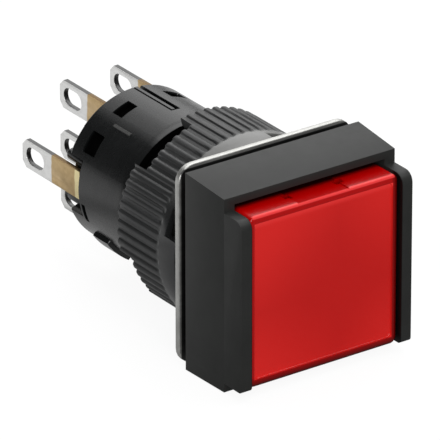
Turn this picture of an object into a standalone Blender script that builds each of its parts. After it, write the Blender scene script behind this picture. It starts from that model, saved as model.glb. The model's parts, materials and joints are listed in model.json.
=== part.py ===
"""Self-locking push switch with a square illuminated head for a round panel hole.

The barrel runs along Y. The origin is on the barrel's axis at the back face of the head,
the button faces -Y and the terminals point to +Y, with +Z up.
"""
import math

import bmesh
import bpy
from mathutils import Matrix

MM = 0.001

# Clearances
SEAT = 0.3 * MM
RUNNING = 0.3 * MM
METAL_GAP = 0.15 * MM
LEAF_GAP = 0.1 * MM

# Threaded barrel and keyway
BARREL_RADIUS = 7.5 * MM
BARREL_WALL = 0.75 * MM
BARREL_LENGTH = 9.3 * MM
KEYWAY_WIDTH = 2.0 * MM
KEYWAY_DEPTH = 0.4 * MM

# Head
HEAD_SIDE_MARGIN = 1.3 * MM
HEAD_TOP_MARGIN = 1.5 * MM
HEAD_DEPTH = 5.3 * MM
HEAD_FLOOR = 1.2 * MM
HEAD_SIDE_DRAFT = 0.15 * MM
HEAD_TOP_DRAFT = 0.45 * MM
HEAD_BOTTOM_DRAFT = 0.1 * MM
HEAD_EDGE = 0.25 * MM
HEAD_TOP_LIP = 0.7 * MM
HEAD_BOTTOM_LIP = 0.4 * MM
GUARD_THICKNESS = 1.05 * MM
GUARD_TOP_STEP = 0.55 * MM
GUARD_BOTTOM_STEP = 0.3 * MM
GUARD_TOP_CORNER = 0.9 * MM
GUARD_BOTTOM_CORNER = 0.4 * MM
BUTTON_TRAVEL = 2.6 * MM

# Lens and legend
LENS_WALL = 0.8 * MM
LENS_RECESS = 0.5 * MM
LENS_EDGE = 0.35 * MM
LENS_BORDER = 0.45 * MM
LENS_BORDER_TOP = 0.9 * MM
LENS_BORDER_BOTTOM = 0.65 * MM
LENS_FIELD_DEPTH = 0.2 * MM
LENS_GRIP_WIDTH = 5.2 * MM
LENS_GRIP_DEPTH = 0.1 * MM
LENS_NOTCH_WIDTH = 0.6 * MM
LENS_NOTCH_LENGTH = 0.5 * MM
LENS_NOTCH_DEPTH = 0.45 * MM
LENS_NOTCH_SETBACK = 1.4 * MM
LEGEND_THICKNESS = 0.6 * MM

# Plunger
PLUNGER_FLANGE = 1.2 * MM
PLUNGER_WALL = 1.2 * MM
PLUNGER_NECK_STEP = 0.8 * MM
PLUNGER_NECK_REACH = 3.0 * MM
PLUNGER_SETBACK = 1.9 * MM

# Gasket, clamp plate and nut
GASKET_THICKNESS = 0.35 * MM
GASKET_INSET = 0.55 * MM
PLATE_THICKNESS = 0.55 * MM
PLATE_SIDE_MARGIN = 0.02 * MM
PLATE_TOP_MARGIN = 0.07 * MM
PLATE_CORNER = 1.5 * MM
PLATE_KEY_WIDTH = 1.4 * MM
NUT_WALL = 0.85 * MM
NUT_LENGTH = 8.5 * MM
NUT_ROOT_DEPTH = 0.35 * MM
NUT_COLLAR_LENGTH = 2.2 * MM
NUT_EDGE = 0.12 * MM
NUT_RIBS = 60
NUT_NOTCHES = 4
NUT_TOOL_NOTCH_DEPTH = 1.6 * MM
NUT_TOOL_NOTCH_ANGLE = 37.0
NUT_TOOL_NOTCH_CENTRE = 57.5
NUT_LOCK_NOTCH_DEPTH = 1.7 * MM
NUT_LOCK_NOTCH_ANGLE = 18.0
NUT_LOCK_NOTCH_CENTRE = 21.0

# Guide sleeve inside the barrel
SLEEVE_LEAD = 2.5 * MM
SLEEVE_SKIN = 0.25 * MM
NECK_LENGTH = 2.0 * MM
SLEEVE_PLUG_LENGTH = 1.7 * MM

# Push-push latch
LATCH_WIRE = 0.5 * MM
LATCH_REACH = 1.8 * MM
LATCH_LENGTH = 4.7 * MM
LATCH_SLOT_WIDTH = 3.2 * MM
LATCH_LEAF = 0.1 * MM
LATCH_LEAF_WIDTH = 1.0 * MM
LATCH_LEAF_LENGTH = 3.6 * MM
CAM_DEPTH = 0.55 * MM
CAM_WIDTH = 2.9 * MM
CAM_MARGIN = 0.55 * MM
HEART_WIDTH = 0.7 * MM
HEART_LENGTH = 1.0 * MM

# Switch body
BODY_INSET = 0.45 * MM
BODY_WALL = 0.8 * MM
BODY_REAR_WALL = 1.4 * MM
WINDOW_SKIN = 0.2 * MM
WINDOW_SETBACK = 1.75 * MM
WINDOW_LENGTH = 1.35 * MM
WINDOW_ANGLE = 14.0
WINDOW_CENTRE = 68.5
SIDE_WINDOW_LENGTH = 1.65 * MM
SIDE_WINDOW_ANGLE = 16.0
SIDE_WINDOW_CENTRE = 35.5
RAIL_ANGLES = (89.5, 94.3)
RAIL_WIDTH = 0.3 * MM
RAIL_DEPTH = 0.35 * MM
RAIL_LENGTH = 5.9 * MM
SLIT_CENTRE = -17.0
SLIT_ANGLE = 14.0
SLIT_WIDTH = 0.5 * MM
LUG_CENTRE = -46.0
LUG_ANGLE = 24.0
LUG_HEIGHT = 0.35 * MM
LUG_LENGTH = 2.2 * MM
LUG_SETBACK = 2.7 * MM
LUG_WINDOW_GAP = 0.2 * MM
LUG_WINDOW_LENGTH = 1.7 * MM
BAR_ANGLE = 54.0
BAR_WIDTH = 0.35 * MM
BAR_HEIGHT = 0.12 * MM
BAR_SETBACK = 3.2 * MM
BAR_LENGTH = 2.4 * MM
PEG_ANGLE = 18.5
PEG_INSET = 1.2 * MM
PEG_RADIUS = 0.55 * MM
PEG_LENGTH = 1.1 * MM
LAMP_NOTCH_ANGLE = 44.0
RIM_STEP_CENTRE = 36.0
RIM_STEP_ANGLE = 14.0
RIM_STEP_DEPTH = 0.2 * MM

# Terminals
TAB_THICKNESS = 0.5 * MM
TAB_WIDTH = 2.6 * MM
TAB_STEM_WIDTH = 1.6 * MM
TAB_LENGTH = 6.95 * MM
TAB_CHAMFER = 0.55 * MM
TAB_EYE_WIDTH = 1.6 * MM
TAB_EYE_LENGTH = 2.65 * MM
TAB_EYE_LAND = 0.6 * MM
TAB_COLUMN = 2.6 * MM
TAB_SKIN = 0.18 * MM
LAMP_TAB_INSET = 0.55 * MM
LAMP_TAB_HEIGHT = 0.2 * MM
LAMP_TAB_FOOT_DEPTH = 1.7 * MM
LAMP_TAB_FOOT_REACH = 1.6 * MM

# Lamp, its socket and the return spring
SOCKET_WALL = 0.55 * MM
SOCKET_LEAD = 4.0 * MM
SOCKET_FLANGE_LENGTH = 1.2 * MM
SOCKET_STEM_RADIUS = 1.5 * MM
LAMP_BASE_LENGTH = 6.0 * MM
LAMP_DOME_CLEARANCE = 0.6 * MM
LAMP_TIP_CLEARANCE = 0.4 * MM
SPRING_WIRE = 0.4 * MM
SPRING_TURNS = 8
SPRING_STEPS = 14

# Contacts and their slider
SLIDER_LENGTH = 1.3 * MM
SLIDER_LEG = 0.8 * MM
CONTACT_SPACE = 1.6 * MM
ROCKER_DEPTH = 3.0 * MM
ROCKER_THICKNESS = 0.5 * MM
ROCKER_WIDTH = 1.0 * MM
ROCKER_OVERHANG = 0.35 * MM
ROCKER_TILT = math.radians(7.0)
CONTACT_BUTTON_RADIUS = 0.45 * MM
CONTACT_BUTTON_HEIGHT = 0.25 * MM

# Head and lens, from the barrel outward and from the panel forward
HEAD_HALF = BARREL_RADIUS + HEAD_SIDE_MARGIN
HEAD_RISE = BARREL_RADIUS + HEAD_TOP_MARGIN
WELL_HALF = HEAD_HALF - HEAD_SIDE_DRAFT - GUARD_THICKNESS
WELL_TOP = HEAD_RISE - HEAD_TOP_DRAFT - HEAD_TOP_LIP
WELL_BOTTOM = -(HEAD_RISE - HEAD_BOTTOM_DRAFT - HEAD_BOTTOM_LIP)
GUARD_TOP = WELL_TOP - GUARD_TOP_STEP
GUARD_BOTTOM = WELL_BOTTOM + GUARD_BOTTOM_STEP
LENS_HALF = WELL_HALF - METAL_GAP
LENS_TOP = WELL_TOP - RUNNING
LENS_BOTTOM = WELL_BOTTOM + RUNNING
LENS_BACK = -(HEAD_FLOOR + BUTTON_TRAVEL + RUNNING)
FLANGE_FRONT = LENS_BACK - PLUNGER_FLANGE
LEGEND_BACK = FLANGE_FRONT - SEAT
LEGEND_FRONT = LEGEND_BACK - LEGEND_THICKNESS
LENS_FRONT = LEGEND_FRONT - SEAT - LENS_WALL
GUARD_FRONT = LENS_FRONT - LENS_RECESS

# What is on the barrel
GASKET_FRONT = SEAT
PLATE_FRONT = GASKET_FRONT + GASKET_THICKNESS + SEAT
PLATE_BACK = PLATE_FRONT + PLATE_THICKNESS
NUT_FRONT = PLATE_BACK + SEAT
NUT_END = NUT_FRONT + NUT_LENGTH
NUT_BORE = BARREL_RADIUS + RUNNING
NUT_RADIUS = NUT_BORE + NUT_WALL

# What is in the barrel, from the outside in
BARREL_BORE = BARREL_RADIUS - BARREL_WALL
SLEEVE_RADIUS = BARREL_BORE - SEAT
LATCH_SLOT_DEPTH = LEAF_GAP + LATCH_WIRE + LEAF_GAP + LATCH_LEAF + LEAF_GAP
SLEEVE_BORE = SLEEVE_RADIUS - SLEEVE_SKIN - LATCH_SLOT_DEPTH
LATCH_RING = SLEEVE_BORE + LEAF_GAP + LATCH_WIRE / 2
PLUNGER_RADIUS = SLEEVE_BORE - RUNNING
PLUNGER_BORE = PLUNGER_RADIUS - PLUNGER_WALL
PLUNGER_NECK_BORE = PLUNGER_BORE - PLUNGER_NECK_STEP
SPRING_RADIUS = PLUNGER_BORE - RUNNING - SPRING_WIRE / 2
SOCKET_RADIUS = SPRING_RADIUS - SPRING_WIRE / 2 - RUNNING
SOCKET_BORE = SOCKET_RADIUS - SOCKET_WALL
SOCKET_FLANGE_RADIUS = PLUNGER_BORE - METAL_GAP
LAMP_RADIUS = PLUNGER_NECK_BORE - LAMP_DOME_CLEARANCE

# Stations along the barrel
SLEEVE_SKIRT_END = BARREL_LENGTH + NECK_LENGTH
SLEEVE_END = SLEEVE_SKIRT_END + SLEEVE_PLUG_LENGTH
PLUNGER_END = SLEEVE_SKIRT_END - PLUNGER_SETBACK
SOCKET_FLANGE_END = SLEEVE_END + SOCKET_FLANGE_LENGTH
SPRING_FRONT = PLUNGER_NECK_REACH + SEAT
SPRING_BACK = SLEEVE_END - SEAT
LATCH_TIP = SLEEVE_LEAD + LATCH_REACH
LATCH_PIVOT = LATCH_TIP + LATCH_LENGTH
LAMP_TIP = LEGEND_BACK + BUTTON_TRAVEL + LAMP_TIP_CLEARANCE
BODY_FRONT = SLEEVE_SKIRT_END + SEAT
ROCKER_PIVOT = SOCKET_FLANGE_END + CONTACT_SPACE
BODY_FLOOR = ROCKER_PIVOT + ROCKER_DEPTH
BODY_END = BODY_FLOOR + BODY_REAR_WALL

# Switch body and terminals
BODY_RADIUS = BARREL_RADIUS - BODY_INSET
BODY_BORE = BODY_RADIUS - BODY_WALL
WINDOW_FRONT = BODY_FLOOR - WINDOW_SETBACK
LUG_END = BODY_END - LUG_SETBACK
LUG_FRONT = LUG_END - LUG_LENGTH
LUG_WINDOW_END = LUG_FRONT - LUG_WINDOW_GAP
BAR_END = BODY_END - BAR_SETBACK
TAB_SLOT_HALF = TAB_THICKNESS / 2 + METAL_GAP
TAB_SLOT_RISE = TAB_WIDTH / 2 + METAL_GAP
TAB_SPACING = (math.sqrt((BODY_RADIUS - TAB_SKIN) ** 2 - (TAB_COLUMN + TAB_SLOT_HALF) ** 2)
               - TAB_SLOT_RISE)
TAB_SHOULDER = BODY_FLOOR + METAL_GAP
TAB_TIP = BODY_END + TAB_LENGTH
LAMP_TAB_OFFSET = BODY_RADIUS - LAMP_TAB_INSET
LAMP_TAB_FOOT = BODY_END - LAMP_TAB_FOOT_DEPTH

# Contacts: the rockers reach from the upper to the lower tab of each pole
ROCKER_REACH = TAB_SPACING + ROCKER_OVERHANG
CONTACT_RISE = ROCKER_THICKNESS / 2 + CONTACT_BUTTON_HEIGHT
CONTACT_DEPTH = (ROCKER_PIVOT + CONTACT_RISE + METAL_GAP
                 + (TAB_SPACING + CONTACT_BUTTON_RADIUS) * math.sin(ROCKER_TILT))
COMMON_DEPTH = (ROCKER_PIVOT + ROCKER_THICKNESS / 2 + METAL_GAP * 2
                + TAB_WIDTH / 2 * math.sin(ROCKER_TILT))
SLIDER_MIDDLE = (PLUNGER_RADIUS + PLUNGER_BORE) / 2
SLIDER_LEG_DROP = math.sqrt(SLIDER_MIDDLE ** 2 - TAB_COLUMN ** 2)
SLIDER_LEG_END = (ROCKER_PIVOT - ROCKER_THICKNESS / 2 - METAL_GAP - BUTTON_TRAVEL
                  + (SLIDER_LEG_DROP - SLIDER_LEG / 2) * math.sin(ROCKER_TILT))

SIDES_LARGE = 64
SIDES_SMALL = 32
MERGE = 0.00001


def start_collections():
    """Empties the scene and makes the collections of the switch and of its cutters."""
    for old in list(bpy.data.objects):
        bpy.data.objects.remove(old)
    switch = bpy.data.collections.new("push_switch")
    cutters = bpy.data.collections.new("cutters")
    bpy.context.scene.collection.children.link(switch)
    bpy.context.scene.collection.children.link(cutters)
    return switch, cutters


SWITCH, CUTTERS = start_collections()


def material(name, colour, roughness, metallic=0.0, transmission=0.0):
    """One Principled material."""
    made = bpy.data.materials.new(name)
    made.use_nodes = True
    shader = made.node_tree.nodes["Principled BSDF"]
    shader.inputs["Base Color"].default_value = (*colour, 1.0)
    shader.inputs["Roughness"].default_value = roughness
    shader.inputs["Metallic"].default_value = metallic
    shader.inputs["Transmission Weight"].default_value = transmission
    return made


BLACK_HEAD = material("black_head", (0.035, 0.035, 0.033), 0.5)
BLACK_BODY = material("black_body", (0.02, 0.02, 0.021), 0.4)
BLACK_NUT = material("black_nut", (0.04, 0.042, 0.043), 0.45)
RUBBER = material("gasket_rubber", (0.01, 0.01, 0.01), 0.8)
STEEL = material("plated_steel", (0.65, 0.65, 0.62), 0.3, metallic=1.0)
RED_LENS = material("red_lens", (0.45, 0.01, 0.008), 0.2, transmission=0.4)
WHITE = material("white_diffuser", (0.8, 0.8, 0.78), 0.5)
GREY = material("grey_plunger", (0.3, 0.3, 0.3), 0.5)
TINNED = material("tinned_brass", (0.6, 0.55, 0.42), 0.35, metallic=1.0)
BRASS = material("contact_brass", (0.7, 0.5, 0.25), 0.35, metallic=1.0)
SPRING_STEEL = material("spring_steel", (0.5, 0.5, 0.5), 0.35, metallic=1.0)
LAMP_GLASS = material("lamp_glass", (0.8, 0.2, 0.15), 0.15, transmission=0.6)


def add_mesh(name, mesh, finish=None):
    """A named object in the switch's collection, or a cutter where it has no finish."""
    made = bpy.data.objects.new(name, mesh)
    if finish is None:
        CUTTERS.objects.link(made)
        made.hide_render = True
        made.display_type = "WIRE"
    else:
        SWITCH.objects.link(made)
        mesh.materials.append(finish)
    return made


def mesh_from(name, bm):
    """A mesh data block with its faces pointing out."""
    bmesh.ops.recalc_face_normals(bm, faces=bm.faces)
    mesh = bpy.data.meshes.new(name)
    bm.to_mesh(mesh)
    bm.free()
    return mesh


def box(name, x, y, z, finish=None):
    """A box between the two limits given along each axis."""
    bm = bmesh.new()
    bmesh.ops.create_cube(bm, size=1.0)
    for vert in bm.verts:
        vert.co.x = x[0] if vert.co.x < 0 else x[1]
        vert.co.y = y[0] if vert.co.y < 0 else y[1]
        vert.co.z = z[0] if vert.co.z < 0 else z[1]
    return add_mesh(name, mesh_from(name, bm), finish)


def rod(name, radius, start, end, finish=None, sides=SIDES_SMALL):
    """A cylinder between two points."""
    bm = bmesh.new()
    centre = [(a + b) / 2 for a, b in zip(start, end)]
    along = Matrix.Translation(end).translation - Matrix.Translation(start).translation
    turn = along.to_track_quat("Z", "Y").to_matrix().to_4x4()
    bmesh.ops.create_cone(bm, cap_ends=True, segments=sides, radius1=radius, radius2=radius,
                          depth=along.length, matrix=Matrix.Translation(centre) @ turn)
    return add_mesh(name, mesh_from(name, bm), finish)


def shaft(name, radius, y_front, y_back, finish=None, sides=SIDES_LARGE):
    """A cylinder on the barrel's axis."""
    return rod(name, radius, (0, y_front, 0), (0, y_back, 0), finish, sides)


def turned(name, profile, finish=None, sides=SIDES_LARGE):
    """A ring turned about the barrel's axis from a closed (radius, y) profile."""
    bm = bmesh.new()
    loop = [bm.verts.new((radius, 0, y)) for radius, y in profile]
    for first, second in zip(loop, loop[1:] + loop[:1]):
        bm.edges.new((first, second))
    mesh = bpy.data.meshes.new(name)
    bm.to_mesh(mesh)
    bm.free()
    made = add_mesh(name, mesh, finish)
    made.rotation_euler = (math.radians(-90), 0, 0)
    screw = made.modifiers.new("turn", "SCREW")
    screw.axis = "Z"
    screw.steps = sides
    screw.render_steps = sides
    screw.use_merge_vertices = True
    screw.merge_threshold = MERGE
    screw.use_smooth_shade = False
    return made


def tube(name, outer, inner, y_front, y_back, finish=None, sides=SIDES_LARGE):
    """A plain tube on the barrel's axis."""
    profile = [(outer, y_back), (outer, y_front), (inner, y_front), (inner, y_back)]
    return turned(name, profile, finish, sides)


AXIS_FRAMES = {
    "X": Matrix(((0, 0, 1, 0), (1, 0, 0, 0), (0, 1, 0, 0), (0, 0, 0, 1))),
    "Y": Matrix.Rotation(math.radians(90), 4, "X"),
    "Z": Matrix.Identity(4),
}


def extruded(name, loops, low, high, finish=None, axis="Y"):
    """A flat outline, with any holes as further loops, extruded along one axis.

    The outline's points are (x, z) along Y, (y, z) along X and (x, y) along Z.
    """
    curve = bpy.data.curves.new(name + "_outline", "CURVE")
    curve.dimensions = "2D"
    curve.fill_mode = "BOTH"
    curve.extrude = (high - low) / 2
    for points in loops:
        spline = curve.splines.new("POLY")
        spline.points.add(len(points) - 1)
        spline.use_cyclic_u = True
        for target, (u, v) in zip(spline.points, points):
            target.co = (u, v, 0, 1)
    guide = bpy.data.objects.new(name + "_outline", curve)
    CUTTERS.objects.link(guide)
    middle = (low + high) / 2
    shift = {"X": (middle, 0, 0), "Y": (0, middle, 0), "Z": (0, 0, middle)}[axis]
    place = Matrix.Translation(shift) @ AXIS_FRAMES[axis]
    return mesh_of_curve(name, guide, place, finish)


def mesh_of_curve(name, guide, place, finish):
    """Turns a curve object into a welded mesh object and removes the curve."""
    bpy.context.view_layer.update()
    graph = bpy.context.evaluated_depsgraph_get()
    mesh = bpy.data.meshes.new_from_object(guide.evaluated_get(graph))
    mesh.name = name
    mesh.materials.clear()
    bpy.data.objects.remove(guide)
    bm = bmesh.new()
    bm.from_mesh(mesh)
    bmesh.ops.remove_doubles(bm, verts=bm.verts, dist=MERGE / 10)
    bm.transform(place)
    bmesh.ops.recalc_face_normals(bm, faces=bm.faces)
    bm.to_mesh(mesh)
    bm.free()
    return add_mesh(name, mesh, finish)


def wire(name, points, radius, finish, corner_sides=2):
    """A round wire along a list of points."""
    curve = bpy.data.curves.new(name + "_path", "CURVE")
    curve.dimensions = "3D"
    curve.bevel_depth = radius
    curve.bevel_resolution = corner_sides
    curve.use_fill_caps = True
    spline = curve.splines.new("POLY")
    spline.points.add(len(points) - 1)
    for target, point in zip(spline.points, points):
        target.co = (*point, 1)
    guide = bpy.data.objects.new(name + "_path", curve)
    CUTTERS.objects.link(guide)
    return mesh_of_curve(name, guide, Matrix.Identity(4), finish)


def boolean(target, other, operation="DIFFERENCE"):
    """Cuts another object from a target, or joins it on."""
    step = target.modifiers.new(operation.lower(), "BOOLEAN")
    step.operation = operation
    step.solver = "EXACT"
    step.object = other


def cut(target, *others):
    for other in others:
        boolean(target, other)


def join(target, *others):
    for other in others:
        boolean(target, other, "UNION")


def soften(target, width, segments=2):
    """Rounds the sharp edges."""
    bevel = target.modifiers.new("soften", "BEVEL")
    bevel.width = width
    bevel.segments = segments
    bevel.limit_method = "ANGLE"
    bevel.angle_limit = math.radians(40)


def polar(radius, degrees):
    """A point (x, z) round the barrel, counted from the left side (-X) up over the top."""
    angle = math.radians(degrees)
    return -radius * math.cos(angle), radius * math.sin(angle)


def arc(radius, first, last, steps):
    """Points of an arc round the barrel's axis."""
    return [polar(radius, first + (last - first) * i / steps) for i in range(steps + 1)]


def sector(name, inner, outer, centre, spread, y_front, y_back, finish=None):
    """A block between two radii and two angles round the barrel."""
    first = centre - spread / 2
    last = centre + spread / 2
    steps = max(2, round(spread / 5))
    outline = arc(outer, first, last, steps) + arc(inner, last, first, steps)
    return extruded(name, [outline], y_front, y_back, finish)


def rounded_rectangle(half_width, bottom, top, corner, steps=4):
    """The outline of a rectangle with round corners."""
    points = []
    corners = ((half_width, bottom, -90), (half_width, top, 0),
               (-half_width, top, 90), (-half_width, bottom, 180))
    for x, z, start in corners:
        centre_x = x - math.copysign(corner, x)
        centre_z = z + (corner if z == bottom else -corner)
        for i in range(steps + 1):
            angle = math.radians(start + 90 * i / steps)
            points.append((centre_x + corner * math.cos(angle),
                           centre_z + corner * math.sin(angle)))
    return points


def circle(radius, sides=SIDES_LARGE):
    return [polar(radius, 360 * i / sides) for i in range(sides)]


def moving(pivot, name, *pieces):
    """Parents the pieces of a moving body to an empty on its joint's axis."""
    hub = bpy.data.objects.new(name, None)
    SWITCH.objects.link(hub)
    hub.location = pivot
    hub.empty_display_size = 2 * MM
    bpy.context.view_layer.update()
    for piece in pieces:
        piece.parent = hub
        piece.matrix_parent_inverse = hub.matrix_world.inverted()


def shade(target):
    """Smooth shading with sharp edges kept."""
    target.data.shade_smooth()
    target.data.set_sharp_from_angle(angle=math.radians(35))


# Head

def head_block():
    """The square block, a little narrower and lower at its front."""
    block = box("bezel_housing", (-HEAD_HALF, HEAD_HALF), (-HEAD_DEPTH, 0),
                (-HEAD_RISE, HEAD_RISE), BLACK_HEAD)
    for vert in block.data.vertices:
        if vert.co.y < -HEAD_DEPTH / 2:
            vert.co.x -= math.copysign(HEAD_SIDE_DRAFT, vert.co.x)
            vert.co.z += -HEAD_TOP_DRAFT if vert.co.z > 0 else HEAD_BOTTOM_DRAFT
    return block


def side_guard(name, side):
    """One of the two plates that stand past the lens on its left and right."""
    outline = []
    for corner, centre_z, start in (
            (GUARD_BOTTOM_CORNER, GUARD_BOTTOM + GUARD_BOTTOM_CORNER, 270),
            (GUARD_TOP_CORNER, GUARD_TOP - GUARD_TOP_CORNER, 180)):
        for i in range(5):
            angle = math.radians(start - 90 * i / 4)
            outline.append((GUARD_FRONT + corner + corner * math.cos(angle),
                            centre_z + corner * math.sin(angle)))
    root = -HEAD_DEPTH + HEAD_EDGE * 2
    outline += [(root, GUARD_TOP), (root, GUARD_BOTTOM)]
    outer = HEAD_HALF - HEAD_SIDE_DRAFT
    inner = WELL_HALF - SEAT
    low, high = (inner, outer) if side > 0 else (-outer, -inner)
    return extruded(name, [outline], low, high, axis="X")


def bezel_housing():
    """The moulded head: block, side guards, lens well and threaded barrel in one piece."""
    head = head_block()
    soften(head, HEAD_EDGE)
    join(head, side_guard("left_guard", -1), side_guard("right_guard", 1))
    join(head, shaft("barrel_stock", BARREL_RADIUS, -HEAD_FLOOR / 2, BARREL_LENGTH))
    cut(head, box("lens_well", (-WELL_HALF, WELL_HALF), (GUARD_FRONT - SEAT, -HEAD_FLOOR),
                  (WELL_BOTTOM, WELL_TOP)))
    cut(head, shaft("barrel_bore", BARREL_BORE, SLEEVE_LEAD - SEAT, BARREL_LENGTH + SEAT))
    cut(head, shaft("plunger_hole", SLEEVE_BORE, -HEAD_DEPTH, SLEEVE_LEAD))
    cut(head, box("keyway", (-KEYWAY_WIDTH / 2, KEYWAY_WIDTH / 2), (SEAT / 2, BARREL_LENGTH + SEAT),
                  (-BARREL_RADIUS - SEAT, -BARREL_RADIUS + KEYWAY_DEPTH)))
    return head


def panel_gasket():
    """The flat rubber gasket behind the head, set in from the head's edge."""
    half = HEAD_HALF - GASKET_INSET
    rise = HEAD_RISE - GASKET_INSET
    outline = rounded_rectangle(half, -rise, rise, PLATE_CORNER)
    return extruded("panel_gasket", [outline, circle(BARREL_RADIUS + SEAT)],
                    GASKET_FRONT, GASKET_FRONT + GASKET_THICKNESS, RUBBER)


def clamp_plate():
    """The plated steel plate between panel and nut, with a key that stops it turning."""
    half = HEAD_HALF + PLATE_SIDE_MARGIN
    rise = HEAD_RISE + PLATE_TOP_MARGIN
    hole_radius = BARREL_RADIUS + SEAT
    key_half = PLATE_KEY_WIDTH / 2
    key_tip = BARREL_RADIUS - KEYWAY_DEPTH + METAL_GAP
    spread = math.degrees(math.asin(key_half / hole_radius))
    hole = arc(hole_radius, -90 + spread, 270 - spread, SIDES_LARGE)
    hole += [(key_half * -1, -key_tip), (key_half, -key_tip)][::-1]
    plate = extruded("clamp_plate", [rounded_rectangle(half, -rise, rise, PLATE_CORNER), hole],
                     PLATE_FRONT, PLATE_BACK, STEEL)
    return plate


def ribbed_outline():
    """The nut's section: round-topped ribs with flat roots between them."""
    points = []
    pitch = 360 / NUT_RIBS
    root = NUT_RADIUS - NUT_ROOT_DEPTH
    shape = ((0.0, root), (0.22, root), (0.36, NUT_RADIUS), (0.86, NUT_RADIUS))
    for i in range(NUT_RIBS):
        points += [polar(radius, (i + share) * pitch) for share, radius in shape]
    return points


def mounting_nut():
    """The ribbed round nut: a smooth collar, four tool notches and four lock notches."""
    ribs_front = NUT_FRONT + NUT_COLLAR_LENGTH
    nut = extruded("mounting_nut", [ribbed_outline(), circle(NUT_BORE)],
                   ribs_front - SEAT, NUT_END, BLACK_NUT)
    join(nut, turned("nut_collar", [
        (NUT_RADIUS, ribs_front), (NUT_RADIUS, NUT_FRONT + NUT_EDGE),
        (NUT_RADIUS - NUT_EDGE, NUT_FRONT), (NUT_BORE + NUT_EDGE, NUT_FRONT),
        (NUT_BORE, NUT_FRONT + NUT_EDGE), (NUT_BORE, ribs_front)]))
    reach = NUT_RADIUS + SEAT
    for i in range(NUT_NOTCHES):
        turn = 360 * i / NUT_NOTCHES
        cut(nut, sector(f"tool_notch_{i + 1}", NUT_BORE - SEAT, reach,
                        NUT_TOOL_NOTCH_CENTRE + turn, NUT_TOOL_NOTCH_ANGLE,
                        NUT_END - NUT_TOOL_NOTCH_DEPTH, NUT_END + SEAT))
        cut(nut, sector(f"lock_notch_{i + 1}", NUT_BORE - SEAT, reach,
                        NUT_LOCK_NOTCH_CENTRE + turn, NUT_LOCK_NOTCH_ANGLE,
                        NUT_FRONT - SEAT, NUT_FRONT + NUT_LOCK_NOTCH_DEPTH))
    return nut


# Button

def lens_cap():
    """The red lens: a square cap open at its back, with a shallow notched grip in its top."""
    half = LENS_HALF
    lens = box("lens_cap", (-half, half), (LENS_FRONT, LENS_BACK), (LENS_BOTTOM, LENS_TOP),
               RED_LENS)
    soften(lens, LENS_EDGE)
    cut(lens, box("lens_inside", (LENS_WALL - half, half - LENS_WALL),
                  (LENS_FRONT + LENS_WALL, LENS_BACK + SEAT),
                  (LENS_BOTTOM + LENS_WALL, LENS_TOP - LENS_WALL)))
    border = LENS_BORDER
    cut(lens, box("lens_field", (border - half, half - border),
                  (LENS_FRONT - SEAT, LENS_FRONT + LENS_FIELD_DEPTH),
                  (LENS_BOTTOM + LENS_BORDER_BOTTOM, LENS_TOP - LENS_BORDER_TOP)))
    cut(lens, box("lens_grip", (-LENS_GRIP_WIDTH / 2, LENS_GRIP_WIDTH / 2),
                  (LENS_FRONT - SEAT, LENS_BACK + SEAT),
                  (LENS_TOP - LENS_GRIP_DEPTH, LENS_TOP + SEAT)))
    notch_front = LENS_FRONT + LENS_NOTCH_SETBACK
    for name, x in (("left", -LENS_GRIP_WIDTH / 2), ("right", LENS_GRIP_WIDTH / 2)):
        cut(lens, box(f"lens_notch_{name}", (x - LENS_NOTCH_WIDTH / 2, x + LENS_NOTCH_WIDTH / 2),
                      (notch_front, notch_front + LENS_NOTCH_LENGTH),
                      (LENS_TOP - LENS_NOTCH_DEPTH, LENS_TOP + SEAT)))
    return lens


def legend_plate():
    """The white plate that spreads the lamp's light behind the lens."""
    half = LENS_HALF - LENS_WALL - SEAT
    return box("legend_plate", (-half, half), (LEGEND_FRONT, LEGEND_BACK),
               (LENS_BOTTOM + LENS_WALL + SEAT, LENS_TOP - LENS_WALL - SEAT), WHITE)


def heart_cam_cutter():
    """The cam track in the plunger: a pocket with a heart-shaped island left in it."""
    front = LATCH_TIP - BUTTON_TRAVEL - CAM_MARGIN
    back = LATCH_TIP + CAM_MARGIN
    floor = -(PLUNGER_RADIUS - CAM_DEPTH)
    pocket = [(-CAM_WIDTH / 2, front), (CAM_WIDTH / 2, front), (CAM_WIDTH / 2, back),
              (-CAM_WIDTH / 2, back)]
    middle = (front + back) / 2
    centre = -HEART_WIDTH / 2
    heart = [(centre, middle + HEART_LENGTH / 2), (centre - HEART_WIDTH / 2, middle),
             (centre - HEART_WIDTH / 4, middle - HEART_LENGTH / 2),
             (centre, middle - HEART_LENGTH / 4),
             (centre + HEART_WIDTH / 4, middle - HEART_LENGTH / 2),
             (centre + HEART_WIDTH / 2, middle)]
    return extruded("heart_cam", [pocket, heart], -PLUNGER_RADIUS - SEAT, floor, axis="Z")


def plunger():
    """The tube that carries the lens and runs in the sleeve, with the latch's cam track."""
    half = LENS_HALF - LENS_WALL - SEAT
    made = box("plunger", (-half, half), (FLANGE_FRONT, LENS_BACK),
               (LENS_BOTTOM + LENS_WALL + SEAT, LENS_TOP - LENS_WALL - SEAT), GREY)
    join(made, shaft("plunger_tube", PLUNGER_RADIUS, LENS_BACK - PLUNGER_FLANGE / 2, PLUNGER_END))
    cut(made, shaft("plunger_neck", PLUNGER_NECK_BORE, FLANGE_FRONT - SEAT, PLUNGER_END, None,
                    SIDES_SMALL))
    cut(made, shaft("plunger_bore", PLUNGER_BORE, PLUNGER_NECK_REACH, PLUNGER_END + SEAT, None,
                    SIDES_SMALL))
    cut(made, heart_cam_cutter())
    return made


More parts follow.
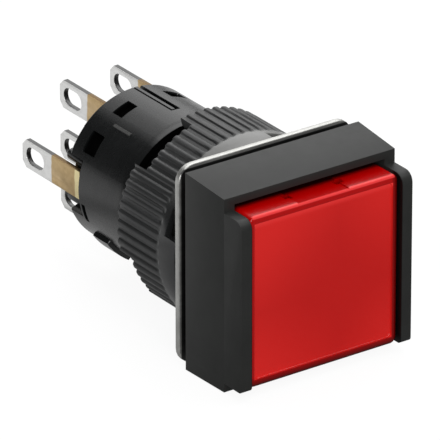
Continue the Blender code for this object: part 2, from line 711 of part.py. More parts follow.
def contact_slider():
    """The ring behind the plunger, whose two legs push the contact rockers."""
    front = PLUNGER_END + SEAT
    slider = tube("contact_slider", PLUNGER_RADIUS, PLUNGER_BORE, front, front + SLIDER_LENGTH,
                  GREY)
    for name, side in (("left", -1), ("right", 1)):
        x = side * TAB_COLUMN
        leg = box(f"slider_leg_{name}", (x - SLIDER_LEG / 2, x + SLIDER_LEG / 2),
                  (front + SLIDER_LENGTH / 2, SLIDER_LEG_END),
                  (-SLIDER_LEG_DROP - SLIDER_LEG / 2, -SLIDER_LEG_DROP + SLIDER_LEG / 2))
        join(slider, leg)
    return slider


def return_spring():
    """The coil spring between the plunger's neck and the lamp socket's flange."""
    front = SPRING_FRONT + SPRING_WIRE / 2
    back = SPRING_BACK - SPRING_WIRE / 2
    count = SPRING_TURNS * SPRING_STEPS
    points = []
    for i in range(count + 1):
        angle = 2 * math.pi * i / SPRING_STEPS
        y = front + (back - front) * i / count
        points.append((SPRING_RADIUS * math.cos(angle), y, SPRING_RADIUS * math.sin(angle)))
    return wire("return_spring", points, SPRING_WIRE / 2, SPRING_STEEL)


# Sleeve and latch

def guide_sleeve():
    """The sleeve that joins barrel and switch body and guides the plunger."""
    sleeve = turned("guide_sleeve", [
        (BODY_BORE - SEAT, SLEEVE_END), (BODY_BORE - SEAT, SLEEVE_SKIRT_END),
        (SLEEVE_RADIUS, SLEEVE_SKIRT_END), (SLEEVE_RADIUS, SLEEVE_LEAD),
        (SLEEVE_BORE, SLEEVE_LEAD), (SLEEVE_BORE, SLEEVE_END)], BLACK_BODY)
    slot_floor = -(SLEEVE_BORE + LATCH_SLOT_DEPTH)
    cut(sleeve, box("latch_slot", (-LATCH_SLOT_WIDTH / 2, LATCH_SLOT_WIDTH / 2),
                    (LATCH_TIP - CAM_MARGIN, LATCH_PIVOT + CAM_MARGIN),
                    (slot_floor, -SLEEVE_BORE / 2)))
    cut(sleeve, rod("latch_hole", LATCH_WIRE / 2 + METAL_GAP,
                    (0, LATCH_PIVOT, -SLEEVE_BORE), (0, LATCH_PIVOT, -SLEEVE_RADIUS - SEAT)))
    return sleeve


def latch_pin():
    """The bent wire whose tip follows the cam track and locks the button down."""
    inner = -(PLUNGER_RADIUS - CAM_DEPTH + METAL_GAP)
    outer = -(SLEEVE_RADIUS - METAL_GAP)
    path = [(0, LATCH_TIP, inner), (0, LATCH_TIP, -LATCH_RING), (0, LATCH_PIVOT, -LATCH_RING),
            (0, LATCH_PIVOT, outer)]
    return wire("latch_pin", path, LATCH_WIRE / 2, SPRING_STEEL)


def latch_spring():
    """The thin leaf that holds the latch pin's tip down in the track."""
    inner = LATCH_RING + LATCH_WIRE / 2 + METAL_GAP / 2
    middle = (LATCH_TIP + LATCH_PIVOT) / 2
    return box("latch_spring", (-LATCH_LEAF_WIDTH / 2, LATCH_LEAF_WIDTH / 2),
               (middle - LATCH_LEAF_LENGTH / 2, middle + LATCH_LEAF_LENGTH / 2),
               (-inner - LATCH_LEAF, -inner), SPRING_STEEL)


# Switch body

def cut_ring_features(body):
    """Cuts the blind windows and slit, the rails and the window before the lug."""
    reach = BODY_RADIUS + SEAT
    window_floor = BODY_BORE + WINDOW_SKIN
    slit_front = WINDOW_FRONT + (WINDOW_LENGTH - SLIT_WIDTH) / 2
    for name, centre, angle, length in (
            ("window", WINDOW_CENTRE, WINDOW_ANGLE, WINDOW_LENGTH),
            ("side_window", SIDE_WINDOW_CENTRE, SIDE_WINDOW_ANGLE, SIDE_WINDOW_LENGTH)):
        for label, degrees in (("left", centre), ("right", 180 - centre)):
            cut(body, sector(f"{name}_{label}", window_floor, reach, degrees, angle,
                             WINDOW_FRONT, WINDOW_FRONT + length))
    cut(body, sector("slit", window_floor, reach, SLIT_CENTRE, SLIT_ANGLE,
                     slit_front, slit_front + SLIT_WIDTH))
    cut(body, sector("lug_window", window_floor, reach, LUG_CENTRE, LUG_ANGLE * 0.7,
                     LUG_WINDOW_END - LUG_WINDOW_LENGTH, LUG_WINDOW_END))
    rail_spread = math.degrees(RAIL_WIDTH / BODY_RADIUS)
    for i, centre in enumerate(RAIL_ANGLES):
        cut(body, sector(f"rail_{i + 1}", BODY_RADIUS - RAIL_DEPTH, reach, centre, rail_spread,
                         BODY_END - RAIL_LENGTH, BODY_END + SEAT))


def cut_terminal_slots(body):
    """Cuts the slots that the terminals pass through."""
    for column in (-1, 1):
        for row in (-1, 0, 1):
            x = column * TAB_COLUMN
            z = row * TAB_SPACING
            cut(body, box(f"tab_slot_{column + 2}_{row + 2}", (x - TAB_SLOT_HALF, x + TAB_SLOT_HALF),
                          (BODY_FLOOR - METAL_GAP, BODY_END + SEAT),
                          (z - TAB_SLOT_RISE, z + TAB_SLOT_RISE)))
        foot_end = LAMP_TAB_FOOT + TAB_THICKNESS + SEAT
        foot_inside = LAMP_TAB_OFFSET - LAMP_TAB_FOOT_REACH - SEAT
        blade_inside = LAMP_TAB_OFFSET - TAB_SLOT_HALF
        for name, inside, back in (("foot", foot_inside, foot_end),
                                   ("blade", blade_inside, BODY_END + PEG_LENGTH + SEAT)):
            limits = sorted((column * inside, column * (BODY_RADIUS + SEAT)))
            cut(body, box(f"lamp_{name}_slot_{column + 2}", limits, (LAMP_TAB_FOOT - SEAT, back),
                          (LAMP_TAB_HEIGHT - TAB_SLOT_RISE, LAMP_TAB_HEIGHT + TAB_SLOT_RISE)))


def switch_body():
    """The round rear housing: a cup with windows, rails, a lug and terminal slots."""
    chamfer = SEAT
    body = turned("switch_body", [
        (BODY_RADIUS - chamfer, BODY_END), (BODY_RADIUS, BODY_END - chamfer),
        (BODY_RADIUS, BODY_FRONT), (BODY_BORE, BODY_FRONT), (BODY_BORE, BODY_END - chamfer)],
        BLACK_BODY)
    join(body, shaft("rear_wall", BODY_RADIUS - BODY_WALL / 2, BODY_FLOOR, BODY_END - METAL_GAP))
    join(body, sector("lug", BODY_RADIUS - BODY_WALL / 2, BODY_RADIUS + LUG_HEIGHT,
                      LUG_CENTRE, LUG_ANGLE, LUG_FRONT, LUG_END))
    bar_spread = math.degrees(BAR_WIDTH / BODY_RADIUS)
    join(body, sector("raised_bar", BODY_RADIUS - BODY_WALL / 2, BODY_RADIUS + BAR_HEIGHT,
                      BAR_ANGLE, bar_spread, BAR_END - BAR_LENGTH, BAR_END))
    for i, degrees in enumerate((0, 180)):
        cut(body, sector(f"lamp_notch_{i + 1}", BODY_BORE, BODY_RADIUS + SEAT, degrees,
                         LAMP_NOTCH_ANGLE, LAMP_TAB_FOOT - SEAT, BODY_END + SEAT))
    for i, degrees in enumerate((PEG_ANGLE, -PEG_ANGLE, 180 - PEG_ANGLE, 180 + PEG_ANGLE)):
        peg_x, peg_z = polar(BODY_RADIUS - PEG_INSET, degrees)
        join(body, rod(f"peg_{i + 1}", PEG_RADIUS, (peg_x, BODY_FLOOR + SEAT, peg_z),
                       (peg_x, BODY_END + PEG_LENGTH, peg_z), None, 16))
    for i, degrees in enumerate((RIM_STEP_CENTRE, 180 - RIM_STEP_CENTRE)):
        cut(body, sector(f"rim_step_{i + 1}", BODY_BORE + SEAT, BODY_RADIUS + SEAT, degrees,
                         RIM_STEP_ANGLE, BODY_END - RIM_STEP_DEPTH, BODY_END + SEAT))
    cut_ring_features(body)
    cut_terminal_slots(body)
    return body


# Terminals and contacts

def tab_outline(root, height, stem=None):
    """A terminal's (y, z) outline, with chamfered corners at its tip, and its eye.

    A stem's half width narrows the end that lies inside the body.
    """
    low = height - TAB_WIDTH / 2
    high = height + TAB_WIDTH / 2
    outer = [(TAB_TIP - TAB_CHAMFER, low), (TAB_TIP, low + TAB_CHAMFER),
             (TAB_TIP, high - TAB_CHAMFER), (TAB_TIP - TAB_CHAMFER, high)]
    if stem:
        outer += [(TAB_SHOULDER, high), (TAB_SHOULDER, height + stem), (root, height + stem),
                  (root, height - stem), (TAB_SHOULDER, height - stem), (TAB_SHOULDER, low)]
    else:
        outer += [(root, high), (root, low)]
    eye = []
    straight = (TAB_EYE_LENGTH - TAB_EYE_WIDTH) / 2
    middle = TAB_TIP - TAB_EYE_LAND - TAB_EYE_LENGTH / 2
    for side, start in ((1, -90), (-1, 90)):
        for i in range(9):
            angle = math.radians(start + 180 * i / 8)
            eye.append((middle + side * straight + TAB_EYE_WIDTH / 2 * math.cos(angle),
                        height + TAB_EYE_WIDTH / 2 * math.sin(angle)))
    return [outer, eye]


def switch_terminal(name, x, height, root):
    """One flat solder tab that runs through the rear wall, on a stem to its contact."""
    return extruded(name, tab_outline(root, height, TAB_STEM_WIDTH / 2), x - TAB_THICKNESS / 2,
                    x + TAB_THICKNESS / 2, TINNED, axis="X")


def lamp_terminal(name, side):
    """A lamp tab beside the body, with a foot bent inward into the rear wall."""
    x = side * LAMP_TAB_OFFSET
    tab = extruded(name, tab_outline(LAMP_TAB_FOOT, LAMP_TAB_HEIGHT), x - TAB_THICKNESS / 2,
                   x + TAB_THICKNESS / 2, TINNED, axis="X")
    foot_x = sorted((x, side * (LAMP_TAB_OFFSET - LAMP_TAB_FOOT_REACH)))
    foot = box(name + "_foot", foot_x, (LAMP_TAB_FOOT, LAMP_TAB_FOOT + TAB_THICKNESS),
               (LAMP_TAB_HEIGHT - TAB_WIDTH / 2, LAMP_TAB_HEIGHT + TAB_WIDTH / 2))
    join(tab, foot)
    return tab


def contact_rocker(name, side):
    """The rocking contact bar of one pole, tilted onto its upper contact at rest."""
    x = side * TAB_COLUMN
    half = ROCKER_THICKNESS / 2
    bar = box(name, (x - ROCKER_WIDTH / 2, x + ROCKER_WIDTH / 2), (-half, half),
              (-ROCKER_REACH, ROCKER_REACH), BRASS)
    for label, z in (("upper", TAB_SPACING), ("lower", -TAB_SPACING)):
        join(bar, rod(f"{name}_{label}_button", CONTACT_BUTTON_RADIUS, (x, 0, z),
                      (x, half + CONTACT_BUTTON_HEIGHT, z), None, 12))
    bar.location = (0, ROCKER_PIVOT, 0)
    bar.rotation_euler = (-ROCKER_TILT, 0, 0)
    for cutter in [step.object for step in bar.modifiers]:
        cutter.parent = bar
    return bar


# Lamp

def lamp_socket():
    """The socket in the middle of the body that holds the lamp."""
    return turned("lamp_socket", [
        (SOCKET_STEM_RADIUS, BODY_FLOOR - SEAT), (SOCKET_STEM_RADIUS, SOCKET_FLANGE_END),
        (SOCKET_FLANGE_RADIUS, SOCKET_FLANGE_END), (SOCKET_FLANGE_RADIUS, SLEEVE_END),
        (SOCKET_RADIUS, SLEEVE_END), (SOCKET_RADIUS, SOCKET_LEAD),
        (SOCKET_BORE, SOCKET_LEAD), (SOCKET_BORE, SLEEVE_END),
        (SOCKET_STEM_RADIUS / 2, SLEEVE_END),
        (SOCKET_STEM_RADIUS / 2, BODY_FLOOR - SEAT)], BLACK_BODY, SIDES_SMALL)


def led_lamp():
    """The lamp: a base in the socket, a rim and a domed tip."""
    base = SOCKET_BORE - RUNNING
    rim_front = SOCKET_LEAD - SEAT
    lamp = shaft("led_lamp", base, rim_front - SEAT, rim_front + LAMP_BASE_LENGTH, LAMP_GLASS,
                 SIDES_SMALL)
    dome_centre = LAMP_TIP + LAMP_RADIUS
    steps = 6
    dome = [(LAMP_RADIUS, rim_front), (LAMP_RADIUS, dome_centre)]
    for i in range(1, steps):
        angle = math.radians(90 * i / steps)
        dome.append((LAMP_RADIUS * math.cos(angle), dome_centre - LAMP_RADIUS * math.sin(angle)))
    dome += [(METAL_GAP, LAMP_TIP), (METAL_GAP, rim_front)]
    join(lamp, turned("lamp_dome", dome, None, SIDES_SMALL))
    join(lamp, shaft("lamp_core", METAL_GAP * 2, LAMP_TIP + SEAT, rim_front, None, 8))
    return lamp


def build():
    bezel_housing()
    panel_gasket()
    guide_sleeve()
    latch_spring()
    switch_body()
    lamp_socket()
    led_lamp()
    rows = {"nc": (TAB_SPACING, CONTACT_DEPTH), "com": (0.0, COMMON_DEPTH),
            "no": (-TAB_SPACING, CONTACT_DEPTH)}
    for side_name, side in (("left", -1), ("right", 1)):
        for row_name, (height, root) in rows.items():
            switch_terminal(f"terminal_{row_name}_{side_name}", side * TAB_COLUMN, height, root)
        lamp_terminal(f"lamp_terminal_{side_name}", side)
        moving((0, ROCKER_PIVOT, 0), f"rocker_axis_{side_name}",
               contact_rocker(f"contact_rocker_{side_name}", side))
    moving((0, 0, 0), "button_axis", lens_cap(), legend_plate(), plunger(), contact_slider())
    return_spring()
    moving((0, LATCH_PIVOT, 0), "latch_axis", latch_pin())
    moving((0, 0, 0), "nut_axis", clamp_plate(), mounting_nut())
    for piece in SWITCH.objects:
        if piece.type == "MESH":
            shade(piece)


build()
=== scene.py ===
"""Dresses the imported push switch: detailed pieces, materials, studio light and camera.

X runs across the switch, Y along its barrel from the head's rear face to the terminals,
and Z up. Lengths are in metres and angles in degrees.
"""
import json
import math

import bmesh
import bpy
from mathutils import Matrix, Vector


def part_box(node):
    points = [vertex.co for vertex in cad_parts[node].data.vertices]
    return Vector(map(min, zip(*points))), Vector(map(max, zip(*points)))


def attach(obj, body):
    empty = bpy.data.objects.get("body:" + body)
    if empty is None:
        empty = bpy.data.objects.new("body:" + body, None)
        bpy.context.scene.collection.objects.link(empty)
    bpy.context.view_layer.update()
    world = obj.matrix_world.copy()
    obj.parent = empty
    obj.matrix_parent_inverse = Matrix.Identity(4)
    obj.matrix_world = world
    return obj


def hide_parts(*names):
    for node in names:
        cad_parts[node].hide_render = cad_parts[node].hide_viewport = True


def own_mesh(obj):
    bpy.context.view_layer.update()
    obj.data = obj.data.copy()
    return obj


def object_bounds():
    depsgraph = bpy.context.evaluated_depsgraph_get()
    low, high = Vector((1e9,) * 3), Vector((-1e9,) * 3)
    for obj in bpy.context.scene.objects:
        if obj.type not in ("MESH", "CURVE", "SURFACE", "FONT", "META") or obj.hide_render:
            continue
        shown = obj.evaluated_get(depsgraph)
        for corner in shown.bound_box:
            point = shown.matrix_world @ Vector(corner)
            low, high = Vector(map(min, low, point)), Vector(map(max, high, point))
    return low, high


MM = 0.001

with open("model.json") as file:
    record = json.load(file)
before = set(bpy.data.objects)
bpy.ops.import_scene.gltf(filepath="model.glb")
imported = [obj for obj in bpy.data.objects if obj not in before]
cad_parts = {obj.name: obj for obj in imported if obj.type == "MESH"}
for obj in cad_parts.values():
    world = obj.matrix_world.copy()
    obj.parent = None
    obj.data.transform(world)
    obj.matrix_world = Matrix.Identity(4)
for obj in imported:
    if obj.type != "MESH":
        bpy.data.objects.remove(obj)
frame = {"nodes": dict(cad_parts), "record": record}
cad_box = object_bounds()
nodes = frame["nodes"]

# Sizes of the head and its guards

HEAD_HALF = 8.8 * MM
HEAD_RISE = 9.0 * MM
HEAD_FRONT = -5.3 * MM
HEAD_EDGE = 0.22 * MM
SIDE_DRAFT = 0.15 * MM
TOP_DRAFT = 0.45 * MM
GUARD_FRONT = -7.8 * MM
GUARD_TOP = 7.3 * MM
GUARD_BOTTOM = -8.2 * MM
GUARD_TOP_CORNER = 0.9 * MM
GUARD_LOW_CORNER = 0.4 * MM
GUARD_ROOT = 1.0 * MM
WELL_HALF = 7.6 * MM
WELL_TOP = 7.85 * MM
WELL_BOTTOM = -8.5 * MM
WELL_FLOOR = -1.2 * MM
WELL_HOLE = 7.0 * MM

# Sizes of the barrel, the plate and the nut

THREAD_PITCH = 1.0 * MM
THREAD_ROOT = 7.28 * MM
THREAD_DEPTH = 0.3 * MM
THREAD_RUN_IN = 0.8 * MM
THREAD_RUN_OUT = 0.5 * MM
BARREL_END = 9.3 * MM
BARREL_BORE = 6.75 * MM
KEYWAY_PLACE = -90
KEYWAY_SPREAD = 7.6
KEYWAY_FLOOR = 7.1 * MM

PLATE_HALF = 8.82 * MM
PLATE_RISE = 9.07 * MM
PLATE_FRONT = 0.95 * MM
PLATE_BACK = 1.5 * MM
PLATE_CORNER = 1.5 * MM
PLATE_EDGE = 0.12 * MM
PLATE_HOLE = 7.8 * MM
KEY_SPREAD = 5.2
KEY_HALF = 0.7 * MM
KEY_TIP = 7.25 * MM

NUT_FRONT = 1.8 * MM
NUT_BACK = 10.3 * MM
NUT_RADIUS = 8.65 * MM
NUT_BORE = 7.8 * MM
NUT_THREAD = 0.13 * MM
NUT_EDGE = 0.15 * MM
COLLAR_END = 4.1 * MM
RIB_PITCH = 6.0
GROOVE_DEPTH = 0.17 * MM
TOOL_NOTCHES = [(57.5 + 90 * i, 18.5) for i in range(4)]
TOOL_FLOOR = 8.7 * MM
LOCK_NOTCHES = [(21.0 + 90 * i, 9.0) for i in range(4)]
LOCK_FLOOR = 3.5 * MM

# Sizes of the lens; borders and rounding are given for its sides, top and bottom

LENS_FRONT = -7.3 * MM
LENS_BACK = -4.1 * MM
LENS_HALF = 7.5 * MM
LENS_TOP = 7.32 * MM
LENS_BOTTOM = -8.2 * MM
LENS_WALL = 0.8 * MM
LENS_CORNER = 0.55 * MM
LENS_BORDERS = (0.5 * MM, 0.7 * MM, 0.68 * MM)
LENS_ROUNDING = (0.14 * MM, 0.2 * MM, 0.3 * MM)
ROUNDING_DEPTH = 0.2 * MM
FIELD_DEPTH = 0.2 * MM
GRIP_HALF = 2.6 * MM
GRIP_DEPTH = 0.1 * MM
NOTCH_HALF = 0.4 * MM
NOTCH_DEPTH = 0.45 * MM

# Sizes of the rear body, the tabs and the spring

BODY_RADIUS = 7.05 * MM
BODY_BORE = 6.25 * MM
BODY_FRONT = 11.6 * MM
BODY_FLOOR = 18.8 * MM
BODY_END = 20.2 * MM
RIM_EASE = 0.12 * MM
PEG_RING = 5.85 * MM
PEG_ANGLE = 18.5
PEG_RADIUS = 0.55 * MM

TAB_COLUMN = 2.6 * MM
LAMP_COLUMN = 6.5 * MM
TAB_ROW = 4.73 * MM
LAMP_HEIGHT = 0.2 * MM
LAMP_FOOT = 18.5 * MM
FOOT_WIDTH = 1.6 * MM
FOOT_THICKNESS = 0.5 * MM
FOOT_CLEARANCE = 0.3 * MM
TAB_TIP = 27.15 * MM
TAB_SHOULDER = 18.95 * MM
TAB_HALF = 1.3 * MM
TAB_THICKNESS = 0.5 * MM
TAB_CHAMFER = 0.55 * MM
TAB_EDGE = 0.05 * MM
STEM_HALF = 0.8 * MM
EYE_PLACE = 25.225 * MM
EYE_STRAIGHT = 0.525 * MM
EYE_RADIUS = 0.8 * MM

SPRING_WIRE = 0.2 * MM
SPRING_TURNS = 8

# Materials


def feed(tree, value, target):
    """Links a socket to an input, or writes a number or a colour into it."""
    if isinstance(value, bpy.types.NodeSocket):
        tree.links.new(value, target)
    elif isinstance(value, tuple):
        target.default_value = (*value, 1.0)
    else:
        target.default_value = value


class Shader:
    """A Principled material with helpers for its node tree."""

    def __init__(self, name):
        self.material = bpy.data.materials.new(name)
        self.material.use_nodes = True
        self.tree = self.material.node_tree
        self.principled = self.tree.nodes["Principled BSDF"]
        self.coords = self.tree.nodes.new("ShaderNodeTexCoord").outputs["Object"]
        split = self.tree.nodes.new("ShaderNodeSeparateXYZ")
        self.tree.links.new(self.coords, split.inputs["Vector"])
        self.x, self.y, self.z = split.outputs

    def set(self, **values):
        """Feeds inputs of the Principled shader; an underscore stands for a space."""
        for key, value in values.items():
            feed(self.tree, value, self.principled.inputs[key.replace("_", " ")])

    def noise(self, scale, detail=3.0, rough=0.5, stretch=(1.0, 1.0, 1.0)):
        """Noise in the part's own coordinates; the scale is in waves per millimetre."""
        mapping = self.tree.nodes.new("ShaderNodeMapping")
        mapping.inputs["Scale"].default_value = [scale / MM * share for share in stretch]
        made = self.tree.nodes.new("ShaderNodeTexNoise")
        for key, value in (("Scale", 1.0), ("Detail", detail), ("Roughness", rough)):
            made.inputs[key].default_value = value
        self.tree.links.new(self.coords, mapping.inputs["Vector"])
        self.tree.links.new(mapping.outputs["Vector"], made.inputs["Vector"])
        return made.outputs["Fac"]

    def remap(self, value, low, high, to_low, to_high, smooth=False):
        made = self.tree.nodes.new("ShaderNodeMapRange")
        made.interpolation_type = "SMOOTHSTEP" if smooth else "LINEAR"
        for slot, item in enumerate((value, low, high, to_low, to_high)):
            feed(self.tree, item, made.inputs[slot])
        return made.outputs["Result"]

    def above(self, value, low, high, smooth=False):
        """A mask that rises from 0 at low to 1 at high."""
        return self.remap(value, low, high, 0.0, 1.0, smooth)

    def below(self, value, low, high, smooth=False):
        """A mask that falls from 1 at low to 0 at high."""
        return self.remap(value, low, high, 1.0, 0.0, smooth)

    def vary(self, noise, to_low, to_high, reach=0.2):
        """Noise within a reach of its middle, spread over another range."""
        return self.remap(noise, 0.5 - reach, 0.5 + reach, to_low, to_high)

    def math(self, operation, *values):
        made = self.tree.nodes.new("ShaderNodeMath")
        made.operation = operation
        for slot, value in enumerate(values):
            feed(self.tree, value, made.inputs[slot])
        return made.outputs["Value"]

    def times(self, first, second):
        return self.math("MULTIPLY", first, second)

    def plus(self, first, second):
        return self.math("ADD", first, second)

    def apart(self, value, place=0.0):
        """How far a value is from a place."""
        return self.math("ABSOLUTE", self.math("SUBTRACT", value, place))

    def mix(self, factor, first, second):
        """A blend of two colours; in a colour mix node these inputs are 6 and 7."""
        made = self.tree.nodes.new("ShaderNodeMix")
        made.data_type = "RGBA"
        for slot, value in ((0, factor), (6, first), (7, second)):
            feed(self.tree, value, made.inputs[slot])
        return made.outputs[2]

    def bump(self, height, distance):
        made = self.tree.nodes.new("ShaderNodeBump")
        for key, value in (("Strength", 1.0), ("Distance", distance), ("Height", height)):
            feed(self.tree, value, made.inputs[key])
        self.set(Normal=made.outputs["Normal"])


def black_plastic(name, dark, light, roughness, grain, finish_and_painted_light):
    """Moulded black plastic: a fine eroded grain, cloudy flow marks and uneven gloss.

    The finish function sets the specular level, changes roughness in some places and paints light
    and shade into the tone.
    """
    made = Shader(name)
    tone = made.mix(made.vary(made.noise(0.35, 4.0, 0.6), 0.0, 1.0), dark, light)
    rough = made.vary(made.noise(1.3, 5.0, 0.6), *roughness)
    tone, rough = finish_and_painted_light(made, tone, rough)
    made.set(Base_Color=tone, Roughness=rough)
    made.bump(made.noise(9.0, 2.0), grain)
    return made.material


def shaded_guard_walls(made, tone, rough):
    """The head: painted shade darkens the inner walls of the guards towards the front, below
    their tops.
    """
    wall = made.below(made.apart(made.x), WELL_HALF + 0.02 * MM, WELL_HALF + 0.08 * MM)
    under_top = made.below(made.z, 7.45 * MM, 7.6 * MM)
    in_front = made.below(made.y, -6.6 * MM, -6.4 * MM)
    made.set(Specular_IOR_Level=0.24)
    # painted shade on the guards' inner walls
    painted_shade = made.times(made.times(wall, under_top), in_front)
    return made.mix(painted_shade, tone, (0.002, 0.002, 0.002)), rough


def shaded_windows_lit_ridges(made, tone, rough):
    """The body: painted shade inside its windows, and a painted highlight, grey, on what stands
    out of its upper half.
    """
    radius = made.math("SQRT", made.plus(made.times(made.x, made.x), made.times(made.z, made.z)))
    sunk = made.below(radius, BODY_RADIUS - 0.2 * MM, BODY_RADIUS - 0.1 * MM)
    before_floor = made.below(made.y, BODY_FLOOR - 0.1 * MM, BODY_FLOOR - 0.05 * MM)
    # painted shade inside the windows, which also keeps them from shining
    painted_shade = made.times(sunk, before_floor)
    tone = made.mix(painted_shade, tone, (0.0012, 0.0012, 0.0012))
    # painted highlight: raised parts of the upper half are a lighter grey
    raised = made.above(radius, BODY_RADIUS + 0.02 * MM, BODY_RADIUS + 0.07 * MM)
    upper = made.above(made.z, 2 * MM, 3 * MM)
    tone = made.mix(made.times(raised, upper), tone, (0.045, 0.045, 0.044))
    made.set(Specular_IOR_Level=made.times(made.math("SUBTRACT", 1.0, painted_shade), 0.5))
    return tone, rough


def polished_collar_painted_highlight(made, tone, rough):
    """The nut: its collar is polished, with a painted highlight on its top, and all of it shines
    less below.
    """
    made.set(Specular_IOR_Level=made.remap(made.z, -5 * MM, 5 * MM, 0.28, 0.72))
    dullness = made.remap(made.y, COLLAR_END, COLLAR_END + 0.4 * MM, 0.5, 1.0, smooth=True)
    upper = made.above(made.z, 3.5 * MM, 7.8 * MM, smooth=True)
    # a painted highlight on the top of the collar
    painted_highlight = made.times(upper, made.below(dullness, 0.5, 1.0))
    return made.mix(painted_highlight, tone, (0.11, 0.11, 0.106)), made.times(rough, dullness)


def steel():
    """Plated sheet steel: rolling lines, faint blotches and painted shade on its front inside its
    rim.
    """
    made = Shader("plated_sheet_steel")
    lines = made.noise(6.0, 3.0, 0.6, stretch=(0.05, 1.0, 1.0))
    blotch = made.vary(made.noise(0.6, 4.0, 0.6), 0.0, 1.0, reach=0.15)
    tone = made.mix(blotch, (0.50, 0.50, 0.48), (0.60, 0.60, 0.58))
    # painted shade on the front face, inside a narrow rim that keeps the steel's colour
    rim = made.math("MAXIMUM", made.above(made.apart(made.x), 8.5 * MM, 8.6 * MM),
                    made.above(made.apart(made.z), 8.72 * MM, 8.82 * MM))
    front = made.below(made.y, 1.0 * MM, 1.1 * MM)
    shaded_front = made.times(made.math("SUBTRACT", 1.0, rim), front)
    made.set(Metallic=1.0, Base_Color=made.mix(shaded_front, tone, (0.05, 0.05, 0.05)),
             Roughness=made.vary(lines, 0.42, 0.54))
    made.bump(lines, 0.003 * MM)
    return made.material


def tinned_brass():
    """Brass strip with dipped tin on its outer end; cut edges are duller than the faces."""
    made = Shader("tin_dipped_brass")
    wobble = made.vary(made.noise(0.9, 2.0), -0.2 * MM, 0.2 * MM, reach=0.5)
    along = made.plus(made.y, wobble)
    across = made.apart(made.x)
    earlier = made.remap(across, 4 * MM, 5 * MM, 0.0, 0.25 * MM)
    tin = made.above(made.plus(along, earlier), 22.9 * MM, 23.05 * MM, smooth=True)
    near_body = made.below(along, 19.15 * MM, 19.3 * MM, smooth=True)
    cloud = made.vary(made.noise(1.6, 4.0, 0.6), 0.0, 1.0)
    brass = made.mix(cloud, (0.49, 0.35, 0.175), (0.60, 0.44, 0.235))
    brass = made.mix(near_body, brass, (0.92, 0.80, 0.46))
    silver = made.mix(cloud, (0.74, 0.74, 0.73), (0.82, 0.82, 0.81))
    edge = made.mix(tin, (0.16, 0.10, 0.04), (0.10, 0.10, 0.10))
    inside = made.math("MINIMUM", made.apart(across, TAB_COLUMN), made.apart(across, LAMP_COLUMN))
    within = made.below(inside, 0.20 * MM, 0.235 * MM)
    lines = made.noise(5.0, 3.0, 0.6, stretch=(1.0, 0.06, 1.0))
    made.set(Metallic=1.0, Base_Color=made.mix(within, made.mix(tin, brass, silver), edge),
             Roughness=made.vary(lines, 0.3, 0.45))
    made.bump(lines, 0.002 * MM)
    return made.material


FIELD_HALF = 7.0 * MM
FIELD_TOP = 6.6 * MM
FIELD_BOTTOM = -7.5 * MM


def lens_field(made):
    """The lens's sunk field with painted light: painted shade darkest a little right of and below
    its middle, and a painted highlight along its top.
    """
    side = made.above(made.x, -FIELD_HALF, FIELD_HALF)
    rise = made.above(made.z, FIELD_BOTTOM, FIELD_TOP)
    across = made.times(made.apart(side, 0.62), 0.7)
    upward = made.times(made.apart(rise, 0.42), 0.8)
    # painted light: the field brightens away from its shaded middle
    glow = made.above(made.plus(across, upward), 0.1, 0.9, smooth=True)
    cloud = made.vary(made.noise(0.25, 2.0), -0.02, 0.02)
    field = made.mix(made.plus(glow, cloud), (0.40, 0.006, 0.005), (0.56, 0.013, 0.011))
    # a painted highlight along the field's top edge
    return made.mix(made.above(rise, 0.955, 1.0, smooth=True), field, (0.72, 0.030, 0.028))


def lens_border(made):
    """The lens's border: painted shade darkens it at the right and at the bottom, its lit sides
    are a lighter red, and a painted highlight runs along its crest on top.
    """
    low = made.below(made.z, -8.15 * MM, -7.55 * MM)
    right = made.above(made.x, FIELD_HALF, 7.45 * MM)
    lit_sides = made.math("MINIMUM", made.below(made.x, 6.9 * MM, FIELD_HALF),
                        made.above(made.z, FIELD_BOTTOM, -7.3 * MM))
    crest = made.times(made.above(made.z, 7.04 * MM, 7.12 * MM),
                       made.below(made.apart(made.x), 7.1 * MM, 7.25 * MM))
    # painted shade: the border darkens towards the bottom and at the right
    border = made.mix(low, (0.21, 0.0, 0.0), (0.02, 0.0, 0.0))
    border = made.mix(right, border, (0.05, 0.0, 0.0))
    # painted light: the left and top of the border are a lighter red
    border = made.mix(lit_sides, border, (0.33, 0.0, 0.0))
    # a painted highlight along the crest of the top edge
    return made.mix(crest, border, (0.62, 0.035, 0.035))


def lens_red():
    """Red translucent moulding over a white plate. Behind its front it is a darker red, partly
    the red without the plate behind it and partly painted shade, and painted shadow darkens it
    further back, under the head's lip.
    """
    made = Shader("translucent_red")
    outside = made.math("MAXIMUM", made.above(made.z, FIELD_TOP, FIELD_TOP + 0.05 * MM),
                        made.below(made.z, FIELD_BOTTOM - 0.06 * MM, FIELD_BOTTOM))
    outside = made.math("MAXIMUM", outside,
                        made.above(made.apart(made.x), FIELD_HALF, FIELD_HALF + 0.03 * MM))
    colour = made.mix(outside, lens_field(made), lens_border(made))
    # darker red behind the front: partly the cap's own red without the plate behind it, partly
    # painted shade
    colour = made.mix(made.above(made.y, -7.1 * MM, -7.0 * MM), colour, (0.30, 0.0, 0.0))
    # painted shadow under the head's lip
    colour = made.mix(made.above(made.y, -5.3 * MM, -4.7 * MM), colour, (0.02, 0.0, 0.0))
    made.set(IOR=1.46, Specular_IOR_Level=0.3, Base_Color=colour,
             Roughness=made.vary(made.noise(2.0), 0.19, 0.22))
    return made.material


def simple(name, dark, light, rough, metallic=0.0):
    """A plainly moulded or drawn piece with cloudy colour and fine grain."""
    made = Shader(name)
    cloud = made.vary(made.noise(1.5, 4.0, 0.6), 0.0, 1.0)
    made.set(Metallic=metallic, Base_Color=made.mix(cloud, dark, light),
             Roughness=made.vary(made.noise(3.0), rough - 0.06, rough + 0.06))
    made.bump(made.noise(8.0, 2.0), 0.003 * MM)
    return made.material


